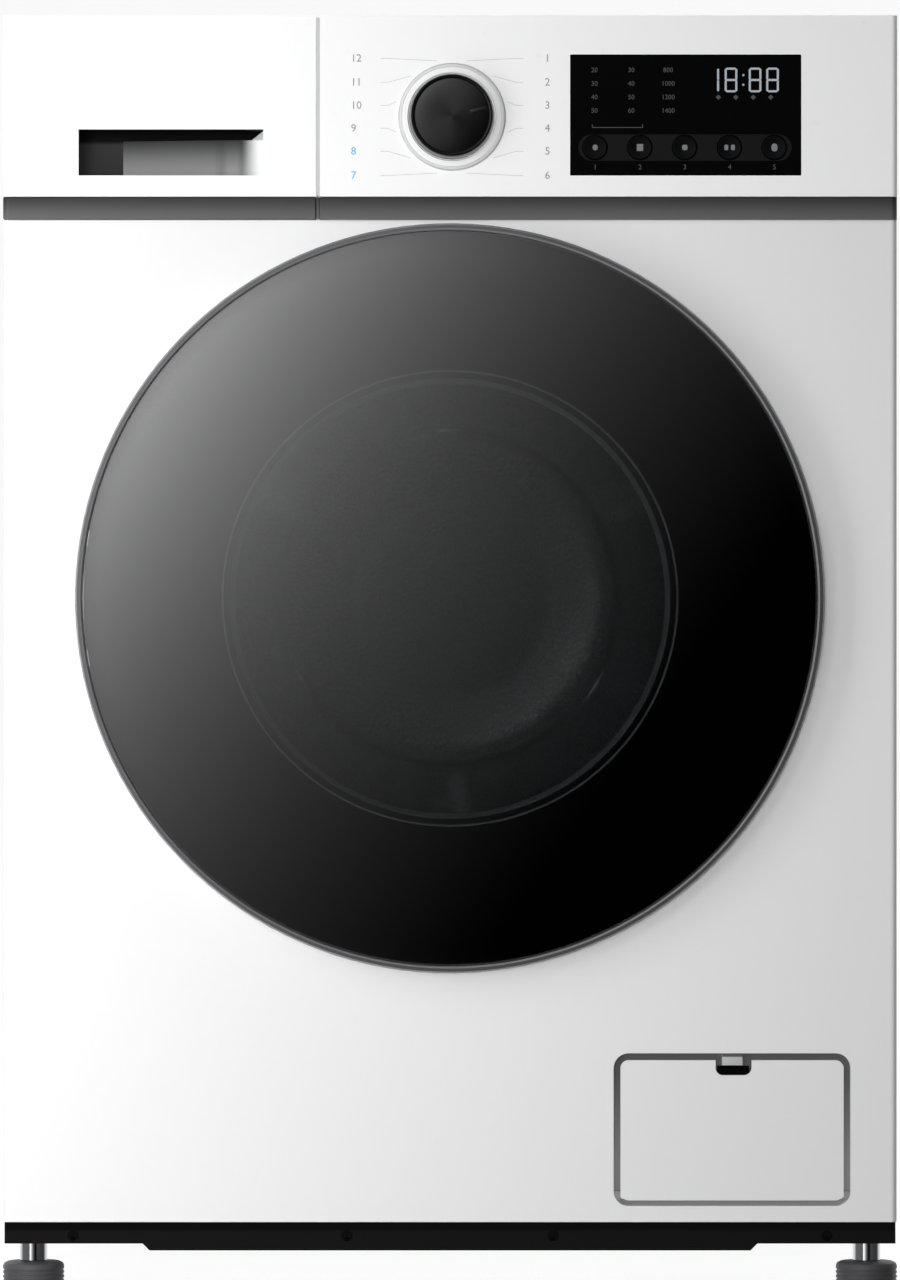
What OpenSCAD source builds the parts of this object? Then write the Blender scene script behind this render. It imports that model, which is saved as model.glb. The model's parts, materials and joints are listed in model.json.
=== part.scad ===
// Front load washing machine, built up from the pieces of the real machine.
// Millimetres, +Z up. The front faces -Y and the origin is on the floor under the middle.
// A length called u is measured back from the face of the front panel.

/* [Cabinet] */
// Height from the floor to the top of the worktop
machine_h = 850; // [835:1:880]
// Width of the cabinet
cabinet_w = 595; // [590:1:620]
// Depth from the face of the front panel to the rear sheet
cabinet_d = 540; // [535:1:600]
// Thickness of the steel sheet
sheet_t = 1.2; // [0.8:0.1:1.6]
// Outer radius of the folds down the front edges
edge_r = 4; // [2:0.5:8]
// Outer radius of the folds down the rear edges
rear_edge_r = 8; // [4:1:14]
// Thickness of the worktop
worktop_t = 16; // [12:1:22]
// How far the front panel and the fascia fold back along the sides
fold_d = 22; // [16:1:30]
// How deep the stiffening panels are pressed into the sides
emboss_d = 2; // [1:0.5:4]
// How far the rear cover and the water connections stand behind the rear sheet
rear_proud = 16; // [12:1:24]

/* [Front layout] */
// Height of the control fascia
fascia_h = 120.5; // [115:0.5:130]
// How far the fascia stands in front of the panel
fascia_proud = 6; // [4:0.5:8]
// Wall of the moulded fascia
fascia_wall = 3; // [2:0.5:4]
// Height of the grey accent band under the fascia
band_h = 15.3; // [10:0.1:20]
// How far the accent band lies behind the fascia's face
band_step = 2.5; // [1:0.5:4]
// Height of the panel's lower edge above the floor
panel_z0 = 47.3; // [44:0.1:60]
// Height of the kick plate
kick_h = 18.9; // [15:0.1:24]
// How much higher the kick plate ends towards its sides
kick_step = 4.6; // [0:0.1:8]

/* [Detergent drawer] */
// Width of the drawer front
drawer_w = 208.4; // [190:0.1:230]
// Gap between the drawer front and the fascia
seam_w = 2.5; // [1:0.1:4]
// Width of the finger recess in the drawer front
grip_w = 122.8; // [90:0.1:140]
// Height of the finger recess
grip_h = 30.6; // [22:0.1:36]
// Depth of the finger recess
grip_d = 17; // [12:0.5:22]
// Wall of the drawer tray
tray_wall = 2; // [1.5:0.1:3]
// Running gap between the tray and its housing
tray_gap = 1.2; // [0.6:0.1:2]

/* [Controls] */
// Height of the knob's axis below the worktop
knob_drop = 67.6; // [60:0.1:72]
// Diameter of the programme knob
knob_d = 57; // [40:0.5:62]
// Diameter of the dial ring round the knob
ring_d = 73.6; // [66:0.1:82]
// How far the knob stands out of the fascia
knob_proud = 17; // [10:0.5:22]
// Width of the display window
display_w = 153.7; // [140:0.1:170]
// Height of the display window
display_h = 80.5; // [70:0.1:90]
// Distance of the display's middle from the machine's middle
display_x = 156.7; // [145:0.1:170]
// Diameter of a key cap
key_d = 16.4; // [12:0.1:18]
// Distance between the keys
key_pitch = 29.8; // [24:0.1:32]
// Height of the keys above the display's lower edge
key_rise = 18.7; // [14:0.1:24]
// Radial gap round a key cap
key_gap = 0.35; // [0.3:0.05:0.8]
// How far a key goes in
key_travel = 1; // [0.5:0.1:1.5]

/* [Door] */
// Height of the door's and the drum's axis
axis_z = 462.3; // [455:0.1:475]
// Outer diameter of the door
door_d = 497; // [480:1:505]
// How far the middle of the glass stands in front of the panel
door_proud = 42; // [36:1:55]
// How far the rim of the door stands in front of the panel
rim_proud = 24; // [22:0.5:30]
// Thickness of the outer glass
glass_t = 4; // [3:0.5:5]
// Width of the bright trim round the glass
trim_w = 4.2; // [3:0.1:8]
// Gap between the closed door and the panel
door_gap = 5; // [4:0.5:8]
// Outer radius of the glass bowl at its flange
bowl_r0 = 150; // [145:1:154]
// Outer radius of the bowl at its deep end
bowl_r1 = 118; // [100:1:125]
// How deep the bowl reaches behind the panel
bowl_u = 100; // [80:1:110]
// Wall of the bowl
bowl_wall = 4; // [3:0.5:6]
// Radius of the flat middle of the bowl's deep end
bowl_flat_r = 66; // [50:1:80]
// Distance of the hinge axis from the door's outer edge
hinge_in = 9.5; // [8:0.5:12]
// Distance of the hinge axis in front of the panel
hinge_out = 13.3; // [13:0.1:14]
// Radius of the panel's mouth behind the door
mouth_r = 210; // [200:1:215]
// How much wider the throat of the front panel is than the bowl's mouth
throat_room = 18; // [14:1:24]

/* [Drum] */
// Outer radius of the drum
drum_r = 246; // [236:1:248]
// Length of the drum
drum_len = 300; // [280:1:320]
// Radius of the drum's mouth
drum_mouth_r = 160; // [150:1:162]
// Thickness of the drum's sheet
drum_t = 1.5; // [0.8:0.1:2]
// Distance of the drum's front end from the panel
drum_u = 107; // [104:1:115]
// Number of lifters
lifter_n = 3; // [3:1:4]
// Height of a lifter above the drum's wall
lifter_h = 55; // [35:1:60]
// Radius of the drum shaft
shaft_r = 15; // [12:0.5:16]
// Gap between the drum and the tub
tub_gap = 12; // [9:0.5:14]
// Wall of the tub
tub_wall = 4; // [3:0.5:5]
// Radius of the drum pulley
pulley_r = 140; // [110:1:150]
// Radius of the motor pulley
pinion_r = 11; // [9:0.5:16]
// Width of the ribbed belt
belt_w = 14; // [10:1:18]

/* [Motor] */
// Height of the motor's axis above the floor
motor_z = 135; // [128:1:136]
// Radius of the motor's body
motor_r = 58; // [50:1:60]
// Length of the motor's body
motor_len = 110; // [90:1:120]
// Radius of the motor's shaft
rotor_r = 6; // [5:0.5:8]

/* [Service flap] */
// Width of the opening for the flap
bay_w = 157.7; // [140:0.1:170]
// Height of the opening for the flap
bay_h = 101.6; // [90:0.1:110]
// Distance of the opening's middle from the machine's middle
bay_x = 187.75; // [175:0.1:200]
// Height of the opening's lower edge above the panel's lower edge
bay_rise = 10.7; // [8:0.1:20]
// Corner radius of the opening
bay_r = 10; // [5:0.5:14]
// Width of the groove between the flap and the panel
groove_w = 4.6; // [3:0.1:7]
// Depth of the groove
groove_d = 8; // [7:0.5:10]

/* [Feet] */
// Diameter of a foot's pad
pad_d = 41; // [36:0.5:50]
// Height of a foot's pad
pad_h = 19; // [14:0.5:24]
// Diameter of a foot's collar
collar_d = 18.6; // [14:0.1:22]
// Diameter of a foot's threaded rod
rod_d = 10; // [8:0.5:12]
// Distance of the feet's axes inside the cabinet's sides
foot_in = 18.5; // [16:0.5:24]

/* [Connections] */
// Outer radius of the water inlet's thread
inlet_r = 13.2; // [12:0.1:14]
// Outer radius of the drain outlet
drain_r = 10.5; // [9:0.5:12]
// Bore radius of the mains gland
gland_r = 4.2; // [3.5:0.1:5]
// Radius of the caps in the holes of the transit bolts
cap_r = 17; // [14:0.5:22]

/* [Hidden] */
$fn = 72;
fine = 128;
fit = 0.3;
run_fit = 0.05;
over = 1;

// Colours of the real finishes
c_white = [0.94, 0.95, 0.95];
c_grey = [0.33, 0.33, 0.34];
c_black = [0.05, 0.05, 0.055];
c_steel = [0.72, 0.73, 0.75];
c_chrome = [0.86, 0.87, 0.88];
c_glass = [0.08, 0.085, 0.09];
c_plastic = [0.80, 0.81, 0.80];
c_rubber = [0.45, 0.46, 0.47];
c_iron = [0.42, 0.41, 0.40];
c_green = [0.10, 0.38, 0.20];

// Cabinet
half_w = cabinet_w / 2;
inner_w = half_w - sheet_t;
front_y = door_proud - (cabinet_d + door_proud + rear_proud) / 2;
rear_y = front_y + cabinet_d;
split_y = front_y + fold_d;
lap_y = rear_y - sheet_t;
inner_y1 = lap_y - sheet_t;
flange_w = 16;
top_z0 = machine_h - worktop_t;
fascia_z0 = machine_h - fascia_h;
band_z0 = fascia_z0 - band_h;
fascia_y = front_y - fascia_proud;
band_y = fascia_y + band_step;
base_z0 = panel_z0 - 2;
base_h = 12;
base_beam = 22;
boss_h = 30;
boss_r = 11;
kick_t = 3;
kick_z0 = panel_z0 - kick_h;
screw_r = 2;
screw_head_r = 4;
screw_head_t = 2.4;

// Rear sheet: access hole and the cover over it
hatch_w = 340;
hatch_z0 = 220;
hatch_z1 = 620;
hatch_lap = 14;
hatch_bulge = 7;

// Drawer
drawer_x0 = -half_w;
drawer_x1 = drawer_x0 + drawer_w;
fascia_x0 = drawer_x1 + seam_w;
drawer_back_y = fascia_y + grip_d + fascia_wall;
drawer_seat_y = drawer_back_y + 1;
tray_x0 = drawer_x0 + 25.5;
tray_x1 = drawer_x1 - 19;
tray_z0 = fascia_z0 + 14.5;
tray_z1 = machine_h - 38;
tray_len = 245;
tray_y1 = drawer_back_y + tray_len;
housing_gap = tray_gap + tray_wall;
housing_x0 = tray_x0 - housing_gap;
housing_x1 = tray_x1 + housing_gap;
housing_z0 = tray_z0 - housing_gap;
housing_z1 = top_z0 - 6;
housing_y1 = tray_y1 + 8;
grip_x0 = drawer_x0 + 50.6;
grip_z0 = fascia_z0 + 14;
grip_z1 = grip_z0 + grip_h;

// Controls
knob_x = 1.3;
knob_z = machine_h - knob_drop;
knob_skirt_r = ring_d / 2 - 4.2;
display_z = fascia_z0 + 54.2;
key_x = display_x - 0.6;
key_z = display_z - display_h / 2 + key_rise;
key_n = 5;
pill_h = key_d + 1.4;
pill_w = key_pitch * (key_n - 1) + pill_h + 5;
pill_d = 1;
window_t = 4;
board_y = fascia_y + 26;
board_t = 1.6;

// Door
door_r = door_d / 2;
glass_r = door_r - trim_w - fit;
hinge_x = -door_r + hinge_in;
hinge_y = front_y - hinge_out;
hinge_pin_r = 2.2;
hinge_eye_r = rim_proud - 2 - glass_t - fit - hinge_out;
hinge_reach = 42;
lug_z = 30;
lug_t = 9;
bowl_lip_u = 12;
bowl_lip_r = bowl_r0 - 4;
bowl_knee_u = bowl_u - 20;
hook_x = bowl_r0 + throat_room + 30;
hook_pin_u = -9.5;
hook_pin_r = 1.2;
lock_z = axis_z;
throat_u = 42;
throat_r = bowl_r0 + throat_room;
funnel_u = 34;
collar_u = 57;

// Drum and tub
drum_y0 = front_y + drum_u;
drum_y1 = drum_y0 + drum_len;
tub_in_r = drum_r + tub_gap;
tub_r = tub_in_r + tub_wall;
tub_y0 = front_y + 85;
tub_split_y = front_y + 287;
tub_y1 = drum_y1 + 32;
hub_y1 = tub_y1 + 34;
bearing_r = 31;
bearing_w = 14;
hub_r = bearing_r + 8;
pulley_y0 = hub_y1 + 6;
pulley_y1 = pulley_y0 + belt_w + 4;
belt_t = 3;
sump_w = 110;
sump_z0 = axis_z - tub_r - 28;
sump_y1 = tub_split_y - 6;
mount_y = front_y + 302;
spring_x = 240;
spring_r = 12;
spring_wire_r = 2.2;
spring_turns = 9;
rail_z0 = top_z0 - 34;
lug_top_z = axis_z + 205;
damper_x0 = 215;
damper_x1 = 158;
damper_z0 = base_z0 + 36;
damper_z1 = axis_z - 228;
damper_len = norm([damper_x0 - damper_x1, damper_z1 - damper_z0]);

// Motor
motor_y1 = pulley_y0 - 18;
motor_y0 = motor_y1 - motor_len;
belt_span = axis_z - motor_z;

// Service bay and pump
bay_x0 = bay_x - bay_w / 2;
bay_z0 = panel_z0 + bay_rise;
bay_z1 = bay_z0 + bay_h;
bay_d = 40;
flap_t = 3;
flap_x0 = bay_x0 + groove_w;
flap_z0 = bay_z0 + 3.7;
flap_z1 = bay_z1 - groove_w;
flap_pin_r = 1.5;
flap_pin_z = flap_z0 + 3;
flap_pin_u = 3;
flap_pin_in = 1.6;
pump_z = bay_z0 + 42;
pump_r = 36;
filter_r = 27;
pump_y1 = front_y + 150;
cradle_x = 18;
cradle_w = 8;

// Feet
foot_x = half_w - foot_in;
foot_front_y = front_y + 34.5;
foot_rear_y = rear_y - 32;
rod_top_z = base_z0 + boss_h + 16;

// Connections on the rear sheet
inlet_x = 190;
inlet_z = machine_h - 70;
outlet_x = 245;
outlet_z = machine_h - 190;
gland_x = -235;
gland_z = machine_h - 110;
cap_places = [for (x = [-1, 1], z = [hatch_z0 + 60, hatch_z1 + 20]) [x * (hatch_w / 2 + 47), z]];
cap_plug_r = cap_r - 6;
cap_t = 2.5;

// ---------- shapes used by several pieces ----------

// A block between two corners.
module block(lo, hi) {
  translate(lo) cube(hi - lo);
}

// A rectangle with round corners, between two corners.
module round_rect(lo, hi, r) {
  translate([lo.x + r, lo.y]) square([hi.x - lo.x - 2 * r, hi.y - lo.y]);
  translate([lo.x, lo.y + r]) square([hi.x - lo.x, hi.y - lo.y - 2 * r]);
  for (x = [lo.x + r, hi.x - r], y = [lo.y + r, hi.y - r])
    translate([x, y]) circle(r);
}

// Stands a drawing in X and Z up between two places along Y.
module slab_y(y0, y1) {
  translate([0, y1, 0]) rotate([90, 0, 0]) linear_extrude(y1 - y0) children();
}

// Stands a drawing in Y and Z up between two places along X.
module slab_x(x0, x1) {
  translate([x0, 0, 0]) rotate([90, 0, 90]) linear_extrude(x1 - x0) children();
}

// Stands a drawing in X and Y up between two heights.
module slab_z(z0, z1) {
  translate([0, 0, z0]) linear_extrude(z1 - z0) children();
}

// Turns something drawn along +Z so that it runs along +Y from a point.
module along_y(p) {
  translate(p) rotate([-90, 0, 0]) children();
}

// A round bar along +Y.
module bar_y(p, r, len) {
  along_y(p) cylinder(h = len, r = r);
}

// A revolved shape on the axis of the drum, whose profile is drawn as [radius, u].
module on_axis(u0 = 0) {
  along_y([0, front_y + u0, axis_z]) rotate_extrude($fn = fine) children();
}

// A circle in X and Z on the axis of the drum.
module axis_circle(r) {
  translate([0, axis_z]) circle(r, $fn = fine);
}

// A round rod between two points.
module rod(a, b, r) {
  d = b - a;
  translate(a) rotate([0, acos(d.z / norm(d)), atan2(d.y, d.x)]) cylinder(h = norm(d), r = r);
}

// A tube or wire that follows a path, as one closed surface.
module swept_tube(path, r, sides) {
  t = [for (i = [0:len(path) - 1]) unit(path[min(i + 1, len(path) - 1)] - path[max(i - 1, 0)])];
  n = [for (i = 0, v = across(t[0]); i < len(t); i = i + 1, v = i < len(t) ? level(v, t[i]) : v) v];
  last = (len(path) - 1) * sides;
  points = [for (i = [0:len(path) - 1], k = [0:sides - 1]) let (b = k * 360 / sides)
    path[i] + r * (cos(b) * n[i] + sin(b) * cross(t[i], n[i]))];
  side_faces = [for (p = [0:sides:last - sides], k = [0:sides - 1])
    let (m = (k + 1) % sides, q = p + sides)
    each [[p + k, q + k, q + m], [p + k, q + m, p + m]]];
  caps = [[for (k = [0:sides - 1]) k], [for (k = [sides - 1:-1:0]) last + k]];
  polyhedron(points, concat(side_faces, caps));
}

function across(v) = unit(cross(v, abs(v.z) < 0.9 ? [0, 0, 1] : [1, 0, 0]));
function level(v, t) = unit(v - (v * t) * t);

// The points of a path with each of its corners rounded over a distance.
function rounded_path(p, d, n = 6) = [p[0], for (i = [1:len(p) - 2], k = [0:n])
  let (a = p[i] - d * unit(p[i] - p[i - 1]), b = p[i] + d * unit(p[i + 1] - p[i]), f = k / n)
  (1 - f) * (1 - f) * a + 2 * f * (1 - f) * p[i] + f * f * b, p[len(p) - 1]];

function unit(v) = v / norm(v);

// Holes for the screws of the front face.
module screw_hole(p, len) {
  bar_y([p.x, p.y - over, p.z], screw_r + run_fit, len + over);
}

// ---------- cabinet ----------

// Outline of the front edges, rounded at the two front corners.
module front_section(y0, inset) {
  intersection() {
    round_rect([-half_w + inset, y0 + inset], [half_w - inset, rear_y], edge_r - inset / 2);
    translate([-half_w, y0]) square([cabinet_w, split_y - y0]);
  }
}

emboss = [[-150, 150], [200, 700]];

module side_pad(inset, x0, x1) {
  slab_x(x0, x1) round_rect([emboss[0][0] + inset, emboss[1][0] + inset],
    [emboss[0][1] - inset, emboss[1][1] - inset], 40 - inset);
}

// One folded side sheet with its front and rear flanges, on the right for s = 1.
module side_sheet(s) {
  difference() {
    union() {
      slab_z(base_z0, top_z0) intersection() {
        difference() {
          round_rect([-half_w, split_y - 2 * rear_edge_r], [half_w, lap_y], rear_edge_r);
          round_rect([-inner_w, split_y + sheet_t], [inner_w, inner_y1],
            rear_edge_r - sheet_t);
        }
        translate([s > 0 ? half_w - flange_w : -half_w, split_y]) square([flange_w, cabinet_d]);
      }
      side_pad(0, min(s * (inner_w - emboss_d), s * inner_w),
        max(s * (inner_w - emboss_d), s * inner_w));
    }
    side_pad(sheet_t, min(s * (half_w - emboss_d), s * (half_w + over)),
      max(s * (half_w - emboss_d), s * (half_w + over)));
  }
}

module cabinet_wrap() {
  lap_x = half_w - rear_edge_r - 1;
  color(c_white) for (s = [-1, 1]) side_sheet(s);
  color(c_white) difference() {
    slab_y(lap_y, rear_y) round_rect([-lap_x, base_z0], [lap_x, top_z0], 2);
    slab_y(lap_y - over, rear_y + over)
      round_rect([-hatch_w / 2, hatch_z0], [hatch_w / 2, hatch_z1], 30);
    bar_y([inlet_x, lap_y - over, inlet_z], inlet_r + 1.5, 3 * over);
    bar_y([outlet_x, lap_y - over, outlet_z], drain_r + 1.5, 3 * over);
    bar_y([gland_x, lap_y - over, gland_z], gland_r + 5, 3 * over);
    for (p = hatch_screws) screw_hole([p.x, lap_y, p.y], 2 * sheet_t);
    for (p = cap_places) bar_y([p.x, lap_y - over, p.y], cap_plug_r + fit, 3 * over);
    for (z = vent_rows, x = [-200:100:200]) slab_y(lap_y - over, rear_y + over)
      round_rect([x - 30, z - 3], [x + 30, z + 3], 2.9);
  }
}

vent_rows = [for (i = [0:2]) machine_h - 150 + 16 * i];
hatch_screws = [for (x = [-1, 1], z = [hatch_z0 + 30, (hatch_z0 + hatch_z1) / 2, hatch_z1 - 30])
  [x * (hatch_w / 2 + hatch_lap / 2), z]];

module rear_cover() {
  lo = [-hatch_w / 2 - hatch_lap, hatch_z0 - hatch_lap];
  hi = [hatch_w / 2 + hatch_lap, hatch_z1 + hatch_lap];
  bulge = 28;
  color(c_steel) difference() {
    union() {
      slab_y(rear_y, rear_y + sheet_t) round_rect(lo, hi, 34);
      slab_y(rear_y, rear_y + hatch_bulge)
        round_rect(lo + [bulge, bulge], hi - [bulge, bulge], 60);
      for (z = [hatch_z0 + 110:60:hatch_z1 - 110]) slab_y(rear_y, rear_y + hatch_bulge + 2)
        round_rect([-90, z - 8], [90, z + 8], 7.9);
    }
    slab_y(rear_y - over, rear_y + hatch_bulge - sheet_t)
      round_rect(lo + [bulge + 2, bulge + 2], hi - [bulge + 2, bulge + 2], 58);
    for (p = hatch_screws) bar_y([p.x, rear_y - over, p.y], screw_r + run_fit, 3 * over);
  }
}

module worktop() {
  bevel = 1.5;
  color(c_white) difference() {
    union() {
      for (s = [[0, worktop_t - 2 * bevel, 0], [worktop_t - 2 * bevel, bevel, bevel / 3],
          [worktop_t - bevel, bevel, bevel]])
        translate([0, 0, top_z0 + s[0]]) linear_extrude(s[1])
          round_rect([-half_w + s[2], split_y], [half_w - s[2], rear_y - s[2]], 6);
    }
    block([-inner_w + 12, split_y + 14, top_z0 - over],
      [inner_w - 12, rear_y - 14, top_z0 + 3]);
  }
}

module front_panel() {
  rim = 12;
  color(c_white) difference() {
    union() {
      difference() {
        slab_z(panel_z0, band_z0) front_section(front_y, 0);
        slab_z(panel_z0 + sheet_t, band_z0 - sheet_t) front_section(front_y, sheet_t);
        block([-inner_w, split_y - over, panel_z0 + sheet_t],
          [inner_w, split_y + over, band_z0 - sheet_t]);
      }
      on_axis() polygon([[mouth_r, 0], [mouth_r + 3, 0], [mouth_r + 3, sheet_t],
        [throat_r + 2, funnel_u + 1], [throat_r + 2, throat_u], [throat_r, throat_u],
        [throat_r, funnel_u]]);
      slab_y(front_y, front_y + rim) round_rect([bay_x0 - sheet_t, bay_z0 - sheet_t],
        [bay_x0 + bay_w + sheet_t, bay_z1 + sheet_t], bay_r + sheet_t);
    }
    on_axis(-over) square([mouth_r, over + 0.001]);
    bar_y([0, front_y - over, axis_z], throat_r, fold_d + 2 * over);
    on_axis() polygon([[0, -over], [mouth_r, -over], [mouth_r, 0], [throat_r, funnel_u], [0, funnel_u]]);
    slab_y(front_y - over, front_y + rim + over)
      round_rect([bay_x0, bay_z0], [bay_x0 + bay_w, bay_z1], bay_r);
    slab_y(front_y - over, front_y + throat_u)
      round_rect([hook_x - 9, lock_z - 15], [hook_x + 9, lock_z + 15], 3);
    for (s = [-1, 1]) screw_hole([hinge_x + 16, front_y, axis_z + s * lug_z * 1.4], 4);
  }
}

module base_frame() {
  lo = [-inner_w, split_y + sheet_t];
  hi = [inner_w, inner_y1];
  beam = [base_beam, base_beam];
  color(c_steel) difference() {
    union() {
      slab_z(base_z0, base_z0 + base_h) difference() {
        round_rect(lo, hi, rear_edge_r - sheet_t);
        round_rect(lo + beam, hi - beam, rear_edge_r - sheet_t);
      }
      block([-kick_beam_x, front_y + kick_t, kick_z0 + 5],
        [kick_beam_x, split_y + sheet_t + over, panel_z0]);
      for (b = [[mount_y - 24, 48], [motor_y0 + 20, 24], [motor_y1 - 20, 24]])
        block([-inner_w + over, b[0], base_z0], [inner_w - over, b[0] + b[1], base_z0 + 10]);
      for (p = feet) translate([p.x, p.y, base_z0]) cylinder(h = boss_h, r = boss_r);
      for (s = [-1, 1], y = damper_cheeks) slab_y(y, y + damper_cheek_t) damper_cheek(s * damper_x0);
      block([bay_x - 30, pump_y0 + 20, base_z0], [bay_x + 30, pump_y1, base_z0 + 6]);
      for (x = [bay_x - cradle_x - cradle_w, bay_x + cradle_x]) block([x, pump_y0 + 24, base_z0],
        [x + cradle_w, pump_y1 - 30, pump_z - sqrt(pump_r * pump_r - cradle_x * cradle_x)]);
    }
    for (p = feet) translate([p.x, p.y, base_z0 - over])
      cylinder(h = boss_h + 2 * over, r = rod_d / 2 + run_fit);
    for (s = [-1, 1]) bar_y([s * damper_x0, mount_y - 20, damper_z0], damper_pin_r, 40);
    for (x = kick_screw_x) screw_hole([x, front_y + kick_t, kick_screw_z], 12);
  }
}

kick_beam_x = half_w - 42;
kick_screw_z = panel_z0 - 9;
kick_screw_x = [for (s = [-1, 1], x = [half_w - 46.6, 68.6]) s * x];
damper_pin_r = 4;
damper_eye = 6.5;
damper_cheek_t = 4.8;
damper_cheeks = [mount_y - damper_eye - fit - damper_cheek_t, mount_y + damper_eye + fit];
pump_y0 = front_y + groove_d + bay_d;
feet = [[-foot_x, foot_front_y], [foot_x, foot_front_y], [-foot_x, foot_rear_y], [foot_x, foot_rear_y]];

module damper_cheek(x) {
  translate([x - 12, base_z0]) square([24, damper_z0 - base_z0]);
  translate([x, damper_z0]) circle(12);
}

module kick_plate() {
  low_x = 200;
  color(c_black) difference() {
    union() {
      slab_y(front_y, front_y + kick_t) polygon([[-half_w + 1, panel_z0],
        [-half_w + 1, kick_z0 + kick_step], [-low_x - kick_step, kick_z0 + kick_step],
        [-low_x, kick_z0], [low_x, kick_z0], [low_x + kick_step, kick_z0 + kick_step],
        [half_w - 1, kick_z0 + kick_step], [half_w - 1, panel_z0]]);
      for (s = [-1, 1]) translate([s * (half_w - 2), (front_y + split_y) / 2, panel_z0 - 7])
        cube([2, fold_d, 14 - 2 * fit], center = true);
    }
    for (x = kick_screw_x) bar_y([x, front_y - over, kick_screw_z], screw_r + run_fit, 2 * kick_t);
    for (x = kick_screw_x) bar_y([x, front_y - over, kick_screw_z], screw_head_r, over + 1.6);
  }
}

module spring_rail() {
  rail_w = 30;
  rail_h = 26;
  wall = 2;
  color(c_steel) difference() {
    block([-inner_w, mount_y - rail_w / 2, rail_z0], [inner_w, mount_y + rail_w / 2, rail_z0 + rail_h]);
    block([-inner_w + wall, mount_y - rail_w / 2 + wall, rail_z0 + wall],
      [inner_w - wall, mount_y + rail_w / 2 - wall, rail_z0 + rail_h + over]);
    for (s = [-1, 1]) translate([s * spring_x, mount_y, rail_z0 - over])
      cylinder(h = 3 * wall, r = spring_wire_r + 1);
    for (x = [-160:80:160]) translate([x, mount_y, rail_z0 - over]) cylinder(h = 3 * wall, r = 8);
  }
}

// ---------- control fascia and drawer housing ----------

module drawer_mouth(grow) {
  translate([tray_x0 - tray_gap - grow, tray_z0 - tray_gap - grow])
    square([tray_x1 - tray_x0 + 2 * (tray_gap + grow), tray_z1 - tray_z0 + 2 * (tray_gap + grow)]);
}

module control_fascia() {
  w = fascia_wall;
  color(c_white) difference() {
    union() {
      difference() {
        slab_z(fascia_z0, machine_h) front_section(fascia_y, 0);
        slab_z(fascia_z0 + w, machine_h - w) intersection() {
          front_section(fascia_y + w, 0);
          translate([fascia_x0 + w, fascia_y]) square([half_w - w - fascia_x0 - w, fold_d * 3]);
        }
        block([-half_w - over, fascia_y - over, fascia_z0 - over],
          [fascia_x0, split_y + over, machine_h + over]);
        block([fascia_x0 + w, split_y - over, fascia_z0 + w],
          [half_w - w, split_y + over, machine_h - w]);
      }
      difference() {
        block([-half_w, drawer_seat_y, band_z0], [fascia_x0 + over, split_y, machine_h]);
        block([-half_w + w, drawer_seat_y + w, band_z0 + w],
          [fascia_x0 - w, split_y + over, machine_h - w]);
      }
      for (p = board_posts) bar_y([p.x, fascia_y + w - over, p.y], 4, board_y - fascia_y - w + over);
    }
    slab_y(drawer_seat_y - over, split_y + over) drawer_mouth(0);
    slab_y(fascia_y - over, fascia_y + w + over) translate([display_x - display_w / 2,
      display_z - display_h / 2]) square([display_w, display_h]);
    bar_y([knob_x, fascia_y - over, knob_z], knob_stem_r + 2, w + 2 * over);
  }
}

knob_stem_r = 3;
board_x0 = knob_x - 40;
board_x1 = display_x + display_w / 2 + 14;
board_z0 = fascia_z0 + 10;
board_z1 = display_z + display_h / 2 + 4;
board_posts = [for (x = [board_x0 + 7, board_x1 - 7], z = [board_z0 + 7, board_z1 - 5]) [x, z]];

module accent_band() {
  color(c_grey) difference() {
    slab_z(band_z0, fascia_z0) difference() {
      front_section(band_y, 0);
      translate([-half_w - over, band_y - over]) square([fascia_x0 + half_w + over, 60]);
    }
    block([fascia_x0 + 2, band_y + 2, band_z0 + 2], [half_w - 2, split_y + over, fascia_z0 - 2]);
    block([fascia_x0 - over, drawer_seat_y - fit, band_z0 - over],
      [fascia_x0 + over + fit, split_y + over, fascia_z0 + over]);
  }
}

module dial_ring() {
  bore = knob_d / 2 + 0.6;
  color(c_chrome) along_y([knob_x, fascia_y, knob_z]) rotate_extrude($fn = fine)
    polygon([[bore, 0], [bore, -2.6], [bore + 1, -3.4], [knob_skirt_r, -3.4],
      [knob_skirt_r + 0.8, -2.6], [ring_d / 2 - 0.8, -2.2], [ring_d / 2, -1.4], [ring_d / 2, 0]]);
}

function key_at(i) = key_x + (i - (key_n + 1) / 2) * key_pitch;

module display_window() {
  y0 = fascia_y + 0.4;
  color(c_glass) difference() {
    slab_y(y0, y0 + window_t) round_rect([display_x - display_w / 2, display_z - display_h / 2],
      [display_x + display_w / 2, display_z + display_h / 2], 1.2);
    slab_y(y0 - over, y0 + pill_d) round_rect([key_x - pill_w / 2, key_z - pill_h / 2],
      [key_x + pill_w / 2, key_z + pill_h / 2], pill_h / 2 - 0.01);
    for (i = [1:key_n]) bar_y([key_at(i), y0 - over, key_z], key_d / 2 + key_gap, window_t + 2 * over);
  }
}

key_y0 = fascia_y + 0.3;
key_len = 20;
window_y1 = fascia_y + 0.4 + window_t;

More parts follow.
